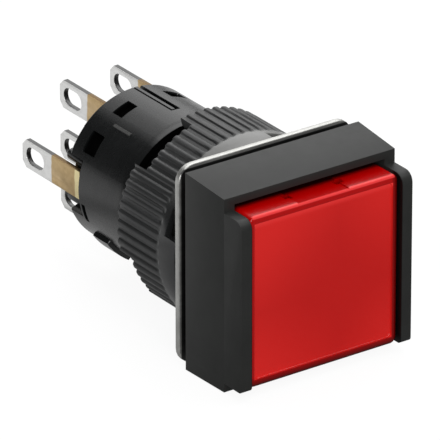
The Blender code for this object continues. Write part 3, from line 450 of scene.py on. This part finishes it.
FINISHES = {
    "black_head": black_plastic("moulded_black_head", (0.0140, 0.0146, 0.0140),
                                (0.0175, 0.0182, 0.0174), (0.42, 0.46), 0.0020 * MM,
                                shaded_guard_walls),
    "black_body": black_plastic("moulded_black_body", (0.0025, 0.0029, 0.0030),
                                (0.0045, 0.0050, 0.0052), (0.24, 0.31), 0.0004 * MM,
                                shaded_windows_lit_ridges),
    "black_nut": black_plastic("moulded_black_nut", (0.0090, 0.0095, 0.0098),
                               (0.0120, 0.0125, 0.0128), (0.40, 0.48), 0.0010 * MM,
                               polished_collar_painted_highlight),
    # near-black gasket: partly its own black rubber, partly painted shade for the gap between the
    # plate and the head
    "gasket_rubber": simple("gasket_rubber", (0.001, 0.001, 0.001), (0.002, 0.002, 0.002), 0.9),
    "plated_steel": steel(),
    "red_lens": lens_red(),
    "tinned_brass": tinned_brass(),
    "white_diffuser": simple("diffuser_white", (0.72, 0.72, 0.70), (0.80, 0.80, 0.78), 0.5),
    "grey_plunger": simple("plunger_grey", (0.25, 0.25, 0.25), (0.32, 0.32, 0.32), 0.5),
    "contact_brass": simple("contact_brass", (0.62, 0.42, 0.18), (0.74, 0.54, 0.27), 0.34, 1.0),
    "spring_steel": simple("spring_wire", (0.45, 0.45, 0.46), (0.6, 0.6, 0.6), 0.3, 1.0),
    "lamp_glass": simple("lamp_epoxy", (0.55, 0.05, 0.03), (0.68, 0.08, 0.05), 0.15),
}
for part in frame["record"]["subparts"]:
    held = nodes[part["node"]].data.materials
    held.clear()
    held.append(FINISHES[part["material_slot"]])

# Outlines and shares


def polar(radius, degrees):
    """A point (x, z) round the barrel, counted from the left side (-X) up over the top."""
    angle = math.radians(degrees)
    return -radius * math.cos(angle), radius * math.sin(angle)


def circle(radius, sides, centre=(0.0, 0.0)):
    points = [polar(radius, 360 * i / sides) for i in range(sides)]
    return [(centre[0] + u, centre[1] + v) for u, v in points]


def arc(centre, radius, start, sweep, steps):
    """Points along an arc, with both its ends."""
    angles = [math.radians(start + sweep * i / steps) for i in range(steps + 1)]
    return [(centre[0] + radius * math.cos(a), centre[1] + radius * math.sin(a)) for a in angles]


def round_rectangle(half, bottom, top, corner):
    x, low, high = half - corner, bottom + corner, top - corner
    return (arc((x, low), corner, -90, 90, 6) + arc((x, high), corner, 0, 90, 6)
            + arc((-x, high), corner, 90, 90, 6) + arc((-x, low), corner, 180, 90, 6))


def degrees_apart(first, second):
    return abs((first - second + 180) % 360 - 180)


def clamp(value):
    return min(1.0, max(0.0, value))


def smooth_step(share):
    return share * share * (3 - 2 * share)


# Mesh helpers


def mesh_of(name, bm):
    """A mesh made from a bmesh, which is freed."""
    mesh = bpy.data.meshes.new(name)
    bm.to_mesh(mesh)
    bm.free()
    return mesh


def evaluated_mesh(target):
    """A mesh of an object with its modifiers or its curve worked out."""
    bpy.context.view_layer.update()
    graph = bpy.context.evaluated_depsgraph_get()
    return bpy.data.meshes.new_from_object(target.evaluated_get(graph))


def merge_mesh(bm, mesh):
    """Adds a mesh to a bmesh and removes it."""
    bm.from_mesh(mesh)
    bpy.data.meshes.remove(mesh)


def placed(name, data):
    """A new object in the scene."""
    made = bpy.data.objects.new(name, data)
    bpy.context.scene.collection.objects.link(made)
    return made


def bm_object(name, bm):
    bmesh.ops.recalc_face_normals(bm, faces=bm.faces)
    return placed(name, mesh_of(name, bm))


def add(name, bm, body, slot, replaced, smooth=35):
    """A new piece from a bmesh, which rides on a body and replaces the named node."""
    piece = bm_object(name, bm)
    piece.data.materials.append(FINISHES[slot])
    piece.data.shade_smooth()
    piece.data.set_sharp_from_angle(angle=math.radians(smooth))
    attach(piece, body)
    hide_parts(replaced)
    return piece


def join_loops(bm, loops):
    """Quads between each loop of points and the next one."""
    for first, second in zip(loops, loops[1:]):
        for i in range(len(first)):
            j = (i + 1) % len(first)
            bm.faces.new((first[i], first[j], second[j], second[i]))


def capped_loops(bm, loops):
    """A skin over a row of loops, with its first and last loop filled."""
    join_loops(bm, loops)
    bm.faces.new(loops[0])
    bm.faces.new(loops[-1])


def ring_mesh(angles, loop_at):
    """A closed ring: at each angle a closed loop of (radius, y) points of equal count."""
    bm = bmesh.new()
    loops = []
    for degrees in angles:
        points = [(polar(radius, degrees), y) for radius, y in loop_at(degrees)]
        loops.append([bm.verts.new((x, y, z)) for (x, z), y in points])
    join_loops(bm, loops + loops[:1])
    return bm


def merged_steps(low, high, step, edges, wall):
    """Even steps with each edge doubled, a wall's width apart; close neighbours are dropped."""
    kept = sorted({round(v, 9) for edge in edges for v in (edge - wall / 2, edge + wall / 2)
                   if low < v < high} | {low, high})
    count = round((high - low) / step)
    even = [low + (high - low) * i / count for i in range(count)]
    return sorted(kept + [value for value in even
                          if all(abs(value - other) > step * 0.35 for other in kept)])


def extruded(outer, holes, low, high, axis, edge=0.0, segments=2):
    """A bmesh of an outline with holes, extruded along X or Y, with its long edges rounded."""
    curve = bpy.data.curves.new("outline", "CURVE")
    curve.dimensions = "2D"
    curve.fill_mode = "BOTH"
    curve.extrude = (high - low) / 2 - edge
    curve.bevel_depth = edge
    curve.bevel_resolution = segments - 1
    curve.offset = -edge
    for points in [outer] + holes:
        spline = curve.splines.new("POLY")
        spline.points.add(len(points) - 1)
        spline.use_cyclic_u = True
        for target, (u, v) in zip(spline.points, points):
            target.co = (u, v, 0, 1)
    guide = placed("outline", curve)
    bm = bmesh.new()
    merge_mesh(bm, evaluated_mesh(guide))
    bpy.data.objects.remove(guide)
    bmesh.ops.remove_doubles(bm, verts=bm.verts, dist=1e-7)
    middle = (low + high) / 2
    if axis == "X":
        turn = Matrix(((0, 0, 1, middle), (1, 0, 0, 0), (0, 1, 0, 0), (0, 0, 0, 1)))
    else:
        turn = Matrix.Translation((0, middle, 0)) @ Matrix.Rotation(math.radians(90), 4, "X")
    bm.transform(turn)
    return bm


def prism(name, outline, low, high, axis):
    return bm_object(name, extruded(outline, [], low, high, axis))


def block(name, x, y, z):
    """A box object between two values on each axis."""
    bm = bmesh.new()
    bmesh.ops.create_cube(bm, size=1.0)
    for vert in bm.verts:
        vert.co = [span[0] if place < 0 else span[1] for place, span in zip(vert.co, (x, y, z))]
    return bm_object(name, bm)


def combine(target, helpers, operation="DIFFERENCE"):
    """Booleans that cut the helpers off an object or unite them with it."""
    for helper in helpers:
        step = target.modifiers.new(operation.lower(), "BOOLEAN")
        step.operation = operation
        step.solver = "EXACT"
        step.object = helper


def bevel(target, width, segments):
    step = target.modifiers.new("edges", "BEVEL")
    step.width = width
    step.segments = segments
    step.limit_method = "ANGLE"
    step.angle_limit = math.radians(40)


def baked(target, *helpers):
    """The evaluated object as a bmesh; the object and its helpers are removed."""
    bm = bmesh.new()
    mesh = evaluated_mesh(target)
    for old in (target,) + helpers:
        bpy.data.objects.remove(old)
    merge_mesh(bm, mesh)
    return bm


# Head, barrel, plate and nut


def head_piece():
    """The square head with its lens well and side guards."""
    shell = block("block", (-HEAD_HALF, HEAD_HALF), (HEAD_FRONT, 0), (-HEAD_RISE, HEAD_RISE))
    for vert in shell.data.vertices:
        if vert.co.y < HEAD_FRONT / 2:
            vert.co.x -= math.copysign(SIDE_DRAFT, vert.co.x)
            vert.co.z -= TOP_DRAFT if vert.co.z > 0 else 0.0
    outline = []
    for centre_z, start, corner in ((GUARD_BOTTOM + GUARD_LOW_CORNER, 270, GUARD_LOW_CORNER),
                                    (GUARD_TOP - GUARD_TOP_CORNER, 180, GUARD_TOP_CORNER)):
        outline += arc((GUARD_FRONT + corner, centre_z), corner, start, -90, 6)
    outline += [(HEAD_FRONT + GUARD_ROOT, GUARD_TOP), (HEAD_FRONT + GUARD_ROOT, GUARD_BOTTOM)]
    outer, inner = HEAD_HALF - SIDE_DRAFT, WELL_HALF - 0.2 * MM
    guards = [prism("guard", outline, low, high, "X")
              for low, high in ((-outer, -inner), (inner, outer))]
    well = block("well", (-WELL_HALF, WELL_HALF), (-12 * MM, WELL_FLOOR), (WELL_BOTTOM, WELL_TOP))
    hole = prism("hole", circle(WELL_HOLE, 128), -3 * MM, 3 * MM, "Y")
    combine(shell, guards, "UNION")
    combine(shell, (well, hole))
    bevel(shell, HEAD_EDGE, 3)
    add("head_shell", baked(shell, *guards, well, hole), "housing", "black_head",
        "bezel_housing", smooth=30)


def thread_wave(turns):
    """A thread form between 0 and 1 over one turn, with a flat root and a flat crest."""
    phase = turns - math.floor(turns)
    return clamp(1.25 * (1 - abs(2 * phase - 1)) - 0.12)


def barrel_piece():
    """The threaded barrel with its keyway at the bottom."""
    step, edge = 0.1 * MM, 0.05 * MM
    stations = [step * (i + 0.5) for i in range(round(BARREL_END / step))]

    def loop(degrees):
        points = []
        keyed = degrees_apart(degrees, KEYWAY_PLACE) < KEYWAY_SPREAD
        for y in stations:
            fade = min(clamp((y - 0.1 * MM) / THREAD_RUN_IN),
                       clamp((BARREL_END - edge - y) / THREAD_RUN_OUT))
            crest = THREAD_DEPTH * thread_wave(y / THREAD_PITCH - degrees / 360) * fade
            points.append((KEYWAY_FLOOR if keyed else THREAD_ROOT + crest, y))
        return points + [(KEYWAY_FLOOR + edge, BARREL_END), (BARREL_BORE + edge, BARREL_END),
                         (BARREL_BORE, BARREL_END - 2 * edge), (BARREL_BORE, 2 * edge)]

    angles = {i * 3.0 - 180 for i in range(120)}
    for side in (KEYWAY_PLACE - KEYWAY_SPREAD, KEYWAY_PLACE + KEYWAY_SPREAD):
        angles |= {side - 0.2, side + 0.2}
    add("threaded_barrel", ring_mesh(sorted(angles), loop), "housing", "black_head",
        "bezel_housing")


def clamp_plate_piece():
    """The plated plate with round corners, its key in the barrel's keyway."""
    outline = round_rectangle(PLATE_HALF, -PLATE_RISE, PLATE_RISE, PLATE_CORNER)
    start, steps = KEYWAY_PLACE + KEY_SPREAD, 95
    hole = [polar(PLATE_HOLE, start + (360 - 2 * KEY_SPREAD) * i / steps)
            for i in range(steps + 1)]
    hole += [(KEY_HALF, -KEY_TIP), (-KEY_HALF, -KEY_TIP)]
    bm = extruded(outline, [hole], PLATE_FRONT, PLATE_BACK, "Y", edge=PLATE_EDGE, segments=3)
    add("clamp_plate_sheet", bm, "clamp_plate", "plated_steel", "clamp_plate")


def rib_height(degrees):
    """How far the nut's ribs stand out at an angle, from 0 in a groove to 1 on a rib."""
    phase = (degrees / RIB_PITCH) % 1.0
    return smooth_step(min(clamp((phase - 0.22) / 0.2), clamp((1.0 - phase) / 0.22)))


def nut_piece():
    """The ribbed nut with its tool notches, lock notches and inner thread."""

    def inside(degrees, notches):
        return any(degrees_apart(degrees, centre) < half for centre, half in notches)

    def loop(degrees):
        rear = TOOL_FLOOR if inside(degrees, TOOL_NOTCHES) else NUT_BACK
        front = LOCK_FLOOR if inside(degrees, LOCK_NOTCHES) else NUT_FRONT
        groove = GROOVE_DEPTH * (1 - rib_height(degrees))
        points = [(NUT_BORE + NUT_EDGE, front), (NUT_RADIUS - NUT_EDGE, front),
                  (NUT_RADIUS - 0.04 * MM, front + 0.04 * MM), (NUT_RADIUS, front + NUT_EDGE)]
        for past in (-0.05, 0.05, 0.15, 0.3, 0.5, 0.7):
            share = smooth_step(clamp(past / 0.6))
            points.append((NUT_RADIUS - groove * share, COLLAR_END + past * MM))
        rib = NUT_RADIUS - groove
        points += [(rib, y * MM) for y in (5.5, 6.5, 7.5, 8.2)]
        points += [(rib, rear - 0.18 * MM), (rib - 0.04 * MM, rear - 0.06 * MM),
                   (rib - 0.14 * MM, rear), (NUT_BORE + NUT_EDGE, rear)]
        start, end, steps = rear - NUT_EDGE, front + NUT_EDGE, 44
        points.append((NUT_BORE, start))
        for i in range(1, steps):
            y = start + (end - start) * i / steps
            wave = thread_wave(y / THREAD_PITCH - degrees / 360 + 0.5)
            points.append((NUT_BORE - NUT_THREAD * wave, y))
        points.append((NUT_BORE, end))
        return points

    angles = {round(i * 0.75, 4) for i in range(480)}
    for centre, half in TOOL_NOTCHES + LOCK_NOTCHES:
        for edge in (centre - half, centre + half):
            angles = {angle for angle in angles if degrees_apart(angle, edge) > 0.3}
            angles |= {round((edge - 0.12) % 360, 4), round((edge + 0.12) % 360, 4)}
    add("ribbed_nut", ring_mesh(sorted(angles), loop), "mounting_nut", "black_nut",
        "mounting_nut", smooth=40)


# Lens


def lens_piece():
    """The red cap: a rounded border, a sunk field inside it and a notched grip on top."""
    walls = (LENS_WALL, LENS_WALL, LENS_WALL)
    rim = (0, 0, 0)
    rows = [(walls, LENS_FRONT + LENS_WALL), (walls, LENS_BACK), (rim, LENS_BACK)]
    for i in range(7):
        angle = math.radians(15 * i)
        rows.append(([size * (1 - math.cos(angle)) for size in LENS_ROUNDING],
                     LENS_FRONT + ROUNDING_DEPTH * (1 - math.sin(angle))))
    slope = 0.05 * MM
    for grow, sink in ((-0.03, 0.0), (-0.01, 0.2 * slope), (0.0, slope),
                       (0.01, FIELD_DEPTH - slope), (0.04, FIELD_DEPTH - 0.2 * slope),
                       (0.09, FIELD_DEPTH)):
        rows.append(([size + grow * MM for size in LENS_BORDERS], LENS_FRONT + sink))
    bm = bmesh.new()
    loops = []
    for (side, top, bottom), y in rows:
        outline = round_rectangle(LENS_HALF - side, LENS_BOTTOM + bottom, LENS_TOP - top,
                                  LENS_CORNER - 0.3 * side)
        loops.append([bm.verts.new((x, y, z)) for x, z in outline])
    capped_loops(bm, loops)
    cap = bm_object("cap", bm)
    above = LENS_TOP + MM
    helpers = [block("grip", (-GRIP_HALF, GRIP_HALF), (LENS_FRONT - MM, 0),
                     (LENS_TOP - GRIP_DEPTH, above))]
    for x in (-GRIP_HALF, GRIP_HALF):
        helpers.append(block("notch", (x - NOTCH_HALF, x + NOTCH_HALF),
                             (LENS_FRONT + 1.35 * MM, LENS_FRONT + 2.1 * MM),
                             (LENS_TOP - NOTCH_DEPTH, above)))
    combine(cap, helpers)
    add("red_lens_cap", baked(cap, *helpers), "button", "red_lens", "lens_cap", smooth=30)


# Rear body


class Patch:
    """A raised or sunk area of the body's wall, or a hole through it."""

    def __init__(self, first, last, front, back, height=0.0):
        self.first, self.last = first, last
        self.front, self.back = front, back
        self.height = height

    def holds(self, degrees, y):
        """Whether a place lies inside the patch; one on its very edge doesn't."""
        slack = 1e-9
        middle, half = (self.first + self.last) / 2, (self.last - self.first) / 2
        return (degrees_apart(degrees, middle) < half - slack
                and self.front + slack < y < self.back - slack)


def pair(first, last, *sizes):
    """A patch on the left and its mirror image on the right."""
    return [Patch(first, last, *sizes), Patch(180 - last, 180 - first, *sizes)]


LAMP_SLOT_FRONT = LAMP_FOOT - FOOT_CLEARANCE
PAST_END = BODY_END + 0.3 * MM
WINDOW_DEPTH = -0.6 * MM

HOLES = pair(-22, 22, LAMP_SLOT_FRONT, PAST_END) + pair(29, 43, BODY_END - 0.2 * MM, PAST_END)
WINDOWS = (pair(61.5, 75.5, 17.05 * MM, 18.4 * MM, WINDOW_DEPTH)
           + pair(27.5, 43.5, 17.05 * MM, 18.7 * MM, WINDOW_DEPTH)
           + [Patch(-24, -10, 17.475 * MM, 17.975 * MM, WINDOW_DEPTH),
              Patch(-54.4, -37.6, 13.4 * MM, 15.1 * MM, WINDOW_DEPTH)])
GROOVES = [Patch(88.6, 89.7, 14.45 * MM, 20.3 * MM, -0.3 * MM),
           Patch(92.6, 95.8, 14.3 * MM, 20.3 * MM, -0.35 * MM),
           Patch(88.6, 92.6, 14.3 * MM, 14.45 * MM, -0.3 * MM)]
BAR = Patch(52.9, 55.1, 14.6 * MM, 17.0 * MM, 0.12 * MM)
LUG = Patch(-58, -34, 15.3 * MM, 17.5 * MM, 0.35 * MM)
RELIEFS = WINDOWS + GROOVES + [BAR, LUG]


def body_radius(degrees, y):
    """The wall's outer radius, with its raised and sunk areas and its eased rims."""
    radius = BODY_RADIUS + sum(patch.height for patch in RELIEFS if patch.holds(degrees, y))
    at_rim = min(y - BODY_FRONT, BODY_END - y) < 1e-7
    return radius - RIM_EASE if at_rim else radius


def body_piece():
    """The rear cup's wall, as one grid of angles and stations with its holes left out."""
    patches = HOLES + RELIEFS
    angle_edges = [edge for patch in patches for edge in (patch.first, patch.last)]
    y_edges = [edge for patch in patches for edge in (patch.front, patch.back)]
    lines = merged_steps(-140.0, 220.0, 3.0, angle_edges, 0.5)
    angles = lines[:-1]
    stations = merged_steps(BODY_FRONT, BODY_END, 0.45 * MM, y_edges, 0.05 * MM)
    count, cells = len(angles), len(stations) - 1
    bm = bmesh.new()
    outer, inner = {}, {}
    for i, degrees in enumerate(angles):
        for k, y in enumerate(stations):
            for held, radius in ((outer, body_radius(degrees, y)), (inner, BODY_BORE)):
                x, z = polar(radius, degrees)
                held[i, k] = bm.verts.new((x, y, z))

    empty = {(i, k) for i in range(count) for k in (-1, cells)}
    for i in range(count):
        for k in range(cells):
            middle, y = (lines[i] + lines[i + 1]) / 2, (stations[k] + stations[k + 1]) / 2
            if any(patch.holds(middle, y) for patch in HOLES):
                empty.add((i, k))

    def wall(first, second):
        bm.faces.new((outer[first], outer[second], inner[second], inner[first]))

    for i in range(count):
        j = (i + 1) % count
        for k in range(cells):
            if (i, k) in empty:
                continue
            corners = ((i, k), (i, k + 1), (j, k + 1), (j, k))
            bm.faces.new([outer[corner] for corner in corners])
            bm.faces.new([inner[corner] for corner in (corners[0],) + corners[:0:-1]])
            for neighbour, first, second in (((i, k - 1), (i, k), (j, k)),
                                             ((i, k + 1), (j, k + 1), (i, k + 1)),
                                             (((i - 1) % count, k), (i, k), (i, k + 1)),
                                             ((j, k), (j, k), (j, k + 1))):
                if neighbour in empty:
                    wall(first, second)
    add("body_shell", bm, "housing", "black_body", "switch_body", smooth=32)


def rear_wall_piece():
    """The body's rear wall, set just inside the rim, with its pegs and its slots for the tabs."""
    made = prism("wall", circle(BODY_BORE + 0.01 * MM, 96), BODY_FLOOR, BODY_END - 0.15 * MM, "Y")
    pegs = []
    for degrees in (PEG_ANGLE, -PEG_ANGLE, 180 - PEG_ANGLE, 180 + PEG_ANGLE):
        outline = circle(PEG_RADIUS, 24, polar(PEG_RING, degrees))
        pegs.append(prism("peg", outline, 19.1 * MM, 21.3 * MM, "Y"))
    slots = []
    half, rise = 0.4 * MM, 1.45 * MM
    for x in (-TAB_COLUMN, TAB_COLUMN):
        for z in (TAB_ROW, 0.0, -TAB_ROW):
            slots.append(block("slot", (x - half, x + half), (18 * MM, 21 * MM),
                               (z - rise, z + rise)))
    for side in (-1, 1):
        for inside, back in ((4.6 * MM, LAMP_FOOT + 0.8 * MM), (6.1 * MM, 22.0 * MM)):
            slots.append(block("slot", sorted((side * inside, side * 8 * MM)),
                               (LAMP_SLOT_FRONT, back), (-1.25 * MM, 1.65 * MM)))
    combine(made, pegs, "UNION")
    combine(made, slots)
    bevel(made, 0.06 * MM, 2)
    add("body_rear_wall", baked(made, *pegs, *slots), "housing", "black_body", "switch_body",
        smooth=30)


# Terminals


def tab_mesh(x, height, root):
    """A flat tab with chamfered tip, long eye and lightly rolled edges.

    The root's points run from its upper side round to its lower side.
    """
    low, high = height - TAB_HALF, height + TAB_HALF
    outline = [(TAB_TIP - TAB_CHAMFER, low), (TAB_TIP, low + TAB_CHAMFER),
               (TAB_TIP, high - TAB_CHAMFER), (TAB_TIP - TAB_CHAMFER, high)] + root
    eye = (arc((EYE_PLACE + EYE_STRAIGHT, height), EYE_RADIUS, -90, 180, 16)
           + arc((EYE_PLACE - EYE_STRAIGHT, height), EYE_RADIUS, 90, 180, 16))
    return extruded(outline, [eye], x - TAB_THICKNESS / 2, x + TAB_THICKNESS / 2, "X",
                    edge=TAB_EDGE)


def contact_tab(name, x, height, root, node):
    """A tab whose narrow stem goes through the rear wall."""
    low, high = height - TAB_HALF, height + TAB_HALF
    bm = tab_mesh(x, height, [(TAB_SHOULDER, high), (TAB_SHOULDER, height + STEM_HALF),
                              (root, height + STEM_HALF), (root, height - STEM_HALF),
                              (TAB_SHOULDER, height - STEM_HALF), (TAB_SHOULDER, low)])
    add(name, bm, "housing", "tinned_brass", node, smooth=30)


def lamp_tab(name, side, node):
    """A tab outside the body, with a foot that is bent in through the window."""
    x = side * LAMP_COLUMN
    low, high = LAMP_HEIGHT - TAB_HALF, LAMP_HEIGHT + TAB_HALF
    bm = tab_mesh(x, LAMP_HEIGHT, [(LAMP_FOOT, high), (LAMP_FOOT, low)])
    foot = block("foot", sorted((x, x - side * FOOT_WIDTH)),
                 (LAMP_FOOT, LAMP_FOOT + FOOT_THICKNESS), (low, high))
    bevel(foot, TAB_EDGE, 2)
    merge_mesh(bm, mesh_of("foot", baked(foot)))
    add(name, bm, "housing", "tinned_brass", node, smooth=30)


# Spring


def spring_piece():
    """The return spring, wound as its solid is."""
    low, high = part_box("return_spring")
    steps, sides = 28, 10
    coil = high[0] - SPRING_WIRE
    front, back = low[1] + SPRING_WIRE, high[1] - SPRING_WIRE
    bm = bmesh.new()
    rings = []
    for i in range(SPRING_TURNS * steps + 1):
        turned = 2 * math.pi * i / steps
        y = front + (back - front) * i / (SPRING_TURNS * steps)
        ring = []
        for k in range(sides):
            around = 2 * math.pi * k / sides
            radius = coil + SPRING_WIRE * math.cos(around)
            ring.append(bm.verts.new((radius * math.cos(turned),
                                      y + SPRING_WIRE * math.sin(around),
                                      radius * math.sin(turned))))
        rings.append(ring)
    capped_loops(bm, rings)
    piece = add("coil_spring", bm, "housing", "spring_steel", "return_spring")
    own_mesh(piece)


# Stage, light and camera


def floor_piece():
    """A pale floor, which the camera sees as near white and a glossy piece as graded grey.

    In a mirror image it brightens from the head to the terminals, with a darker band round
    the tabs' tips, so that black pieces show their shape.
    """
    bm = bmesh.new()
    bmesh.ops.create_grid(bm, x_segments=2, y_segments=2, size=1.5)
    floor = bm_object("floor", bm)
    floor.location = (0, 0, cad_box[0][2] - 0.05 * MM)
    made = Shader("pale_floor")
    path = made.tree.nodes.new("ShaderNodeLightPath")
    seen, mirrored = path.outputs["Is Camera Ray"], path.outputs["Is Glossy Ray"]
    made.set(Roughness=0.9, Specular_IOR_Level=0.1,
             Base_Color=made.mix(seen, (0.42, 0.42, 0.42), (0.95, 0.95, 0.95)))
    ramp = made.remap(made.y, -12 * MM, 35 * MM, 0.14, 0.85)
    band = made.remap(made.apart(made.y, 29.3 * MM), 0.0, 6.3 * MM, -0.40, 0.0, smooth=True)
    graded = made.times(mirrored, made.plus(ramp, band))
    glow = made.tree.nodes.new("ShaderNodeEmission")
    feed(made.tree, made.plus(graded, seen), glow.inputs["Strength"])
    blend = made.tree.nodes.new("ShaderNodeMixShader")
    share = made.plus(made.times(seen, 0.92), made.times(mirrored, 0.9))
    for slot, source in enumerate((share, made.principled.outputs["BSDF"],
                                   glow.outputs["Emission"])):
        feed(made.tree, source, blend.inputs[slot])
    surface = made.tree.nodes["Material Output"].inputs["Surface"]
    feed(made.tree, blend.outputs["Shader"], surface)
    floor.data.materials.append(made.material)


def world_light():
    """A world that is white to the camera and through glass, dim as light, dark in mirrors."""
    world = bpy.data.worlds.new("studio")
    world.use_nodes = True
    bpy.context.scene.world = world
    tree = world.node_tree
    path = tree.nodes.new("ShaderNodeLightPath")
    strength = 0.4
    for kind, chosen in (("Is Glossy Ray", 0.08), ("Is Transmission Ray", 1.0),
                         ("Is Camera Ray", 1.0)):
        mixed = tree.nodes.new("ShaderNodeMix")
        for slot, value in ((0, path.outputs[kind]), (2, strength), (3, chosen)):
            feed(tree, value, mixed.inputs[slot])
        strength = mixed.outputs[0]
    back = tree.nodes["Background"]
    back.inputs["Color"].default_value = (1, 1, 1, 1)
    feed(tree, strength, back.inputs["Strength"])


def lamp(name, location, size, power):
    """A rectangular lamp that points at the switch."""
    data = bpy.data.lights.new(name, "AREA")
    data.shape = "RECTANGLE"
    data.size, data.size_y = size
    data.energy = power
    made = placed(name, data)
    made.location = location
    made.rotation_euler = Vector(location).to_track_quat("Z", "Y").to_euler()


CAMERA_AZIMUTH = math.radians(35.2866)
CAMERA_ELEVATION = math.radians(25.3081)
CAMERA_ROLL = math.radians(-0.0242)
CAMERA_DISTANCE = 600 * MM
CAMERA_RIGHT = -4.3311 * MM
CAMERA_UP = 2.1047 * MM
SENSOR_WIDTH = 36.0
FOCAL_PIXELS = 7222.73
PHOTO_PIXELS = 440


def camera():
    """The photograph's long-lens camera, seen from the front left and above."""
    aside, ahead = math.sin(CAMERA_AZIMUTH), math.cos(CAMERA_AZIMUTH)
    raised, level = math.sin(CAMERA_ELEVATION), math.cos(CAMERA_ELEVATION)
    back = Vector((-aside * level, -ahead * level, raised))
    right = Vector((ahead, -aside, 0))
    up = Vector((aside * raised, ahead * raised, level))
    data = bpy.data.cameras.new("camera")
    data.sensor_width = SENSOR_WIDTH
    data.sensor_fit = "HORIZONTAL"
    data.lens = SENSOR_WIDTH * FOCAL_PIXELS / PHOTO_PIXELS
    data.clip_start = 0.01
    data.clip_end = 10
    matrix = Matrix((right, up, back)).transposed().to_4x4()
    matrix = matrix @ Matrix.Rotation(CAMERA_ROLL, 4, "Z")
    matrix.translation = back * CAMERA_DISTANCE + right * CAMERA_RIGHT + up * CAMERA_UP
    made = placed("camera", data)
    made.matrix_world = matrix
    bpy.context.scene.camera = made


head_piece()
barrel_piece()
clamp_plate_piece()
nut_piece()
lens_piece()
body_piece()
rear_wall_piece()
for side_name, side in (("left", -1), ("right", 1)):
    for row, height, root in (("nc", TAB_ROW, 17.1 * MM), ("com", 0.0, 16.5 * MM),
                              ("no", -TAB_ROW, 17.1 * MM)):
        contact_tab(f"tab_{row}_{side_name}", side * TAB_COLUMN, height, root,
                    f"terminal_{row}_{side_name}")
    lamp_tab(f"lamp_tab_{side_name}", side, f"lamp_terminal_{side_name}")
spring_piece()

bpy.context.scene.view_settings.view_transform = "Standard"
floor_piece()
world_light()
lamp("top_light", (0.12, 0.0, 0.5), (0.75, 0.6), 3.0)
lamp("front_light", (-0.3, -0.45, 0.25), (0.4, 0.4), 2.8)
lamp("back_light", (0.22, 0.36, 0.27), (0.6, 0.5), 0.85)
lamp("back_core", (0.2, 0.33, 0.21), (0.22, 0.22), 0.10)
camera()
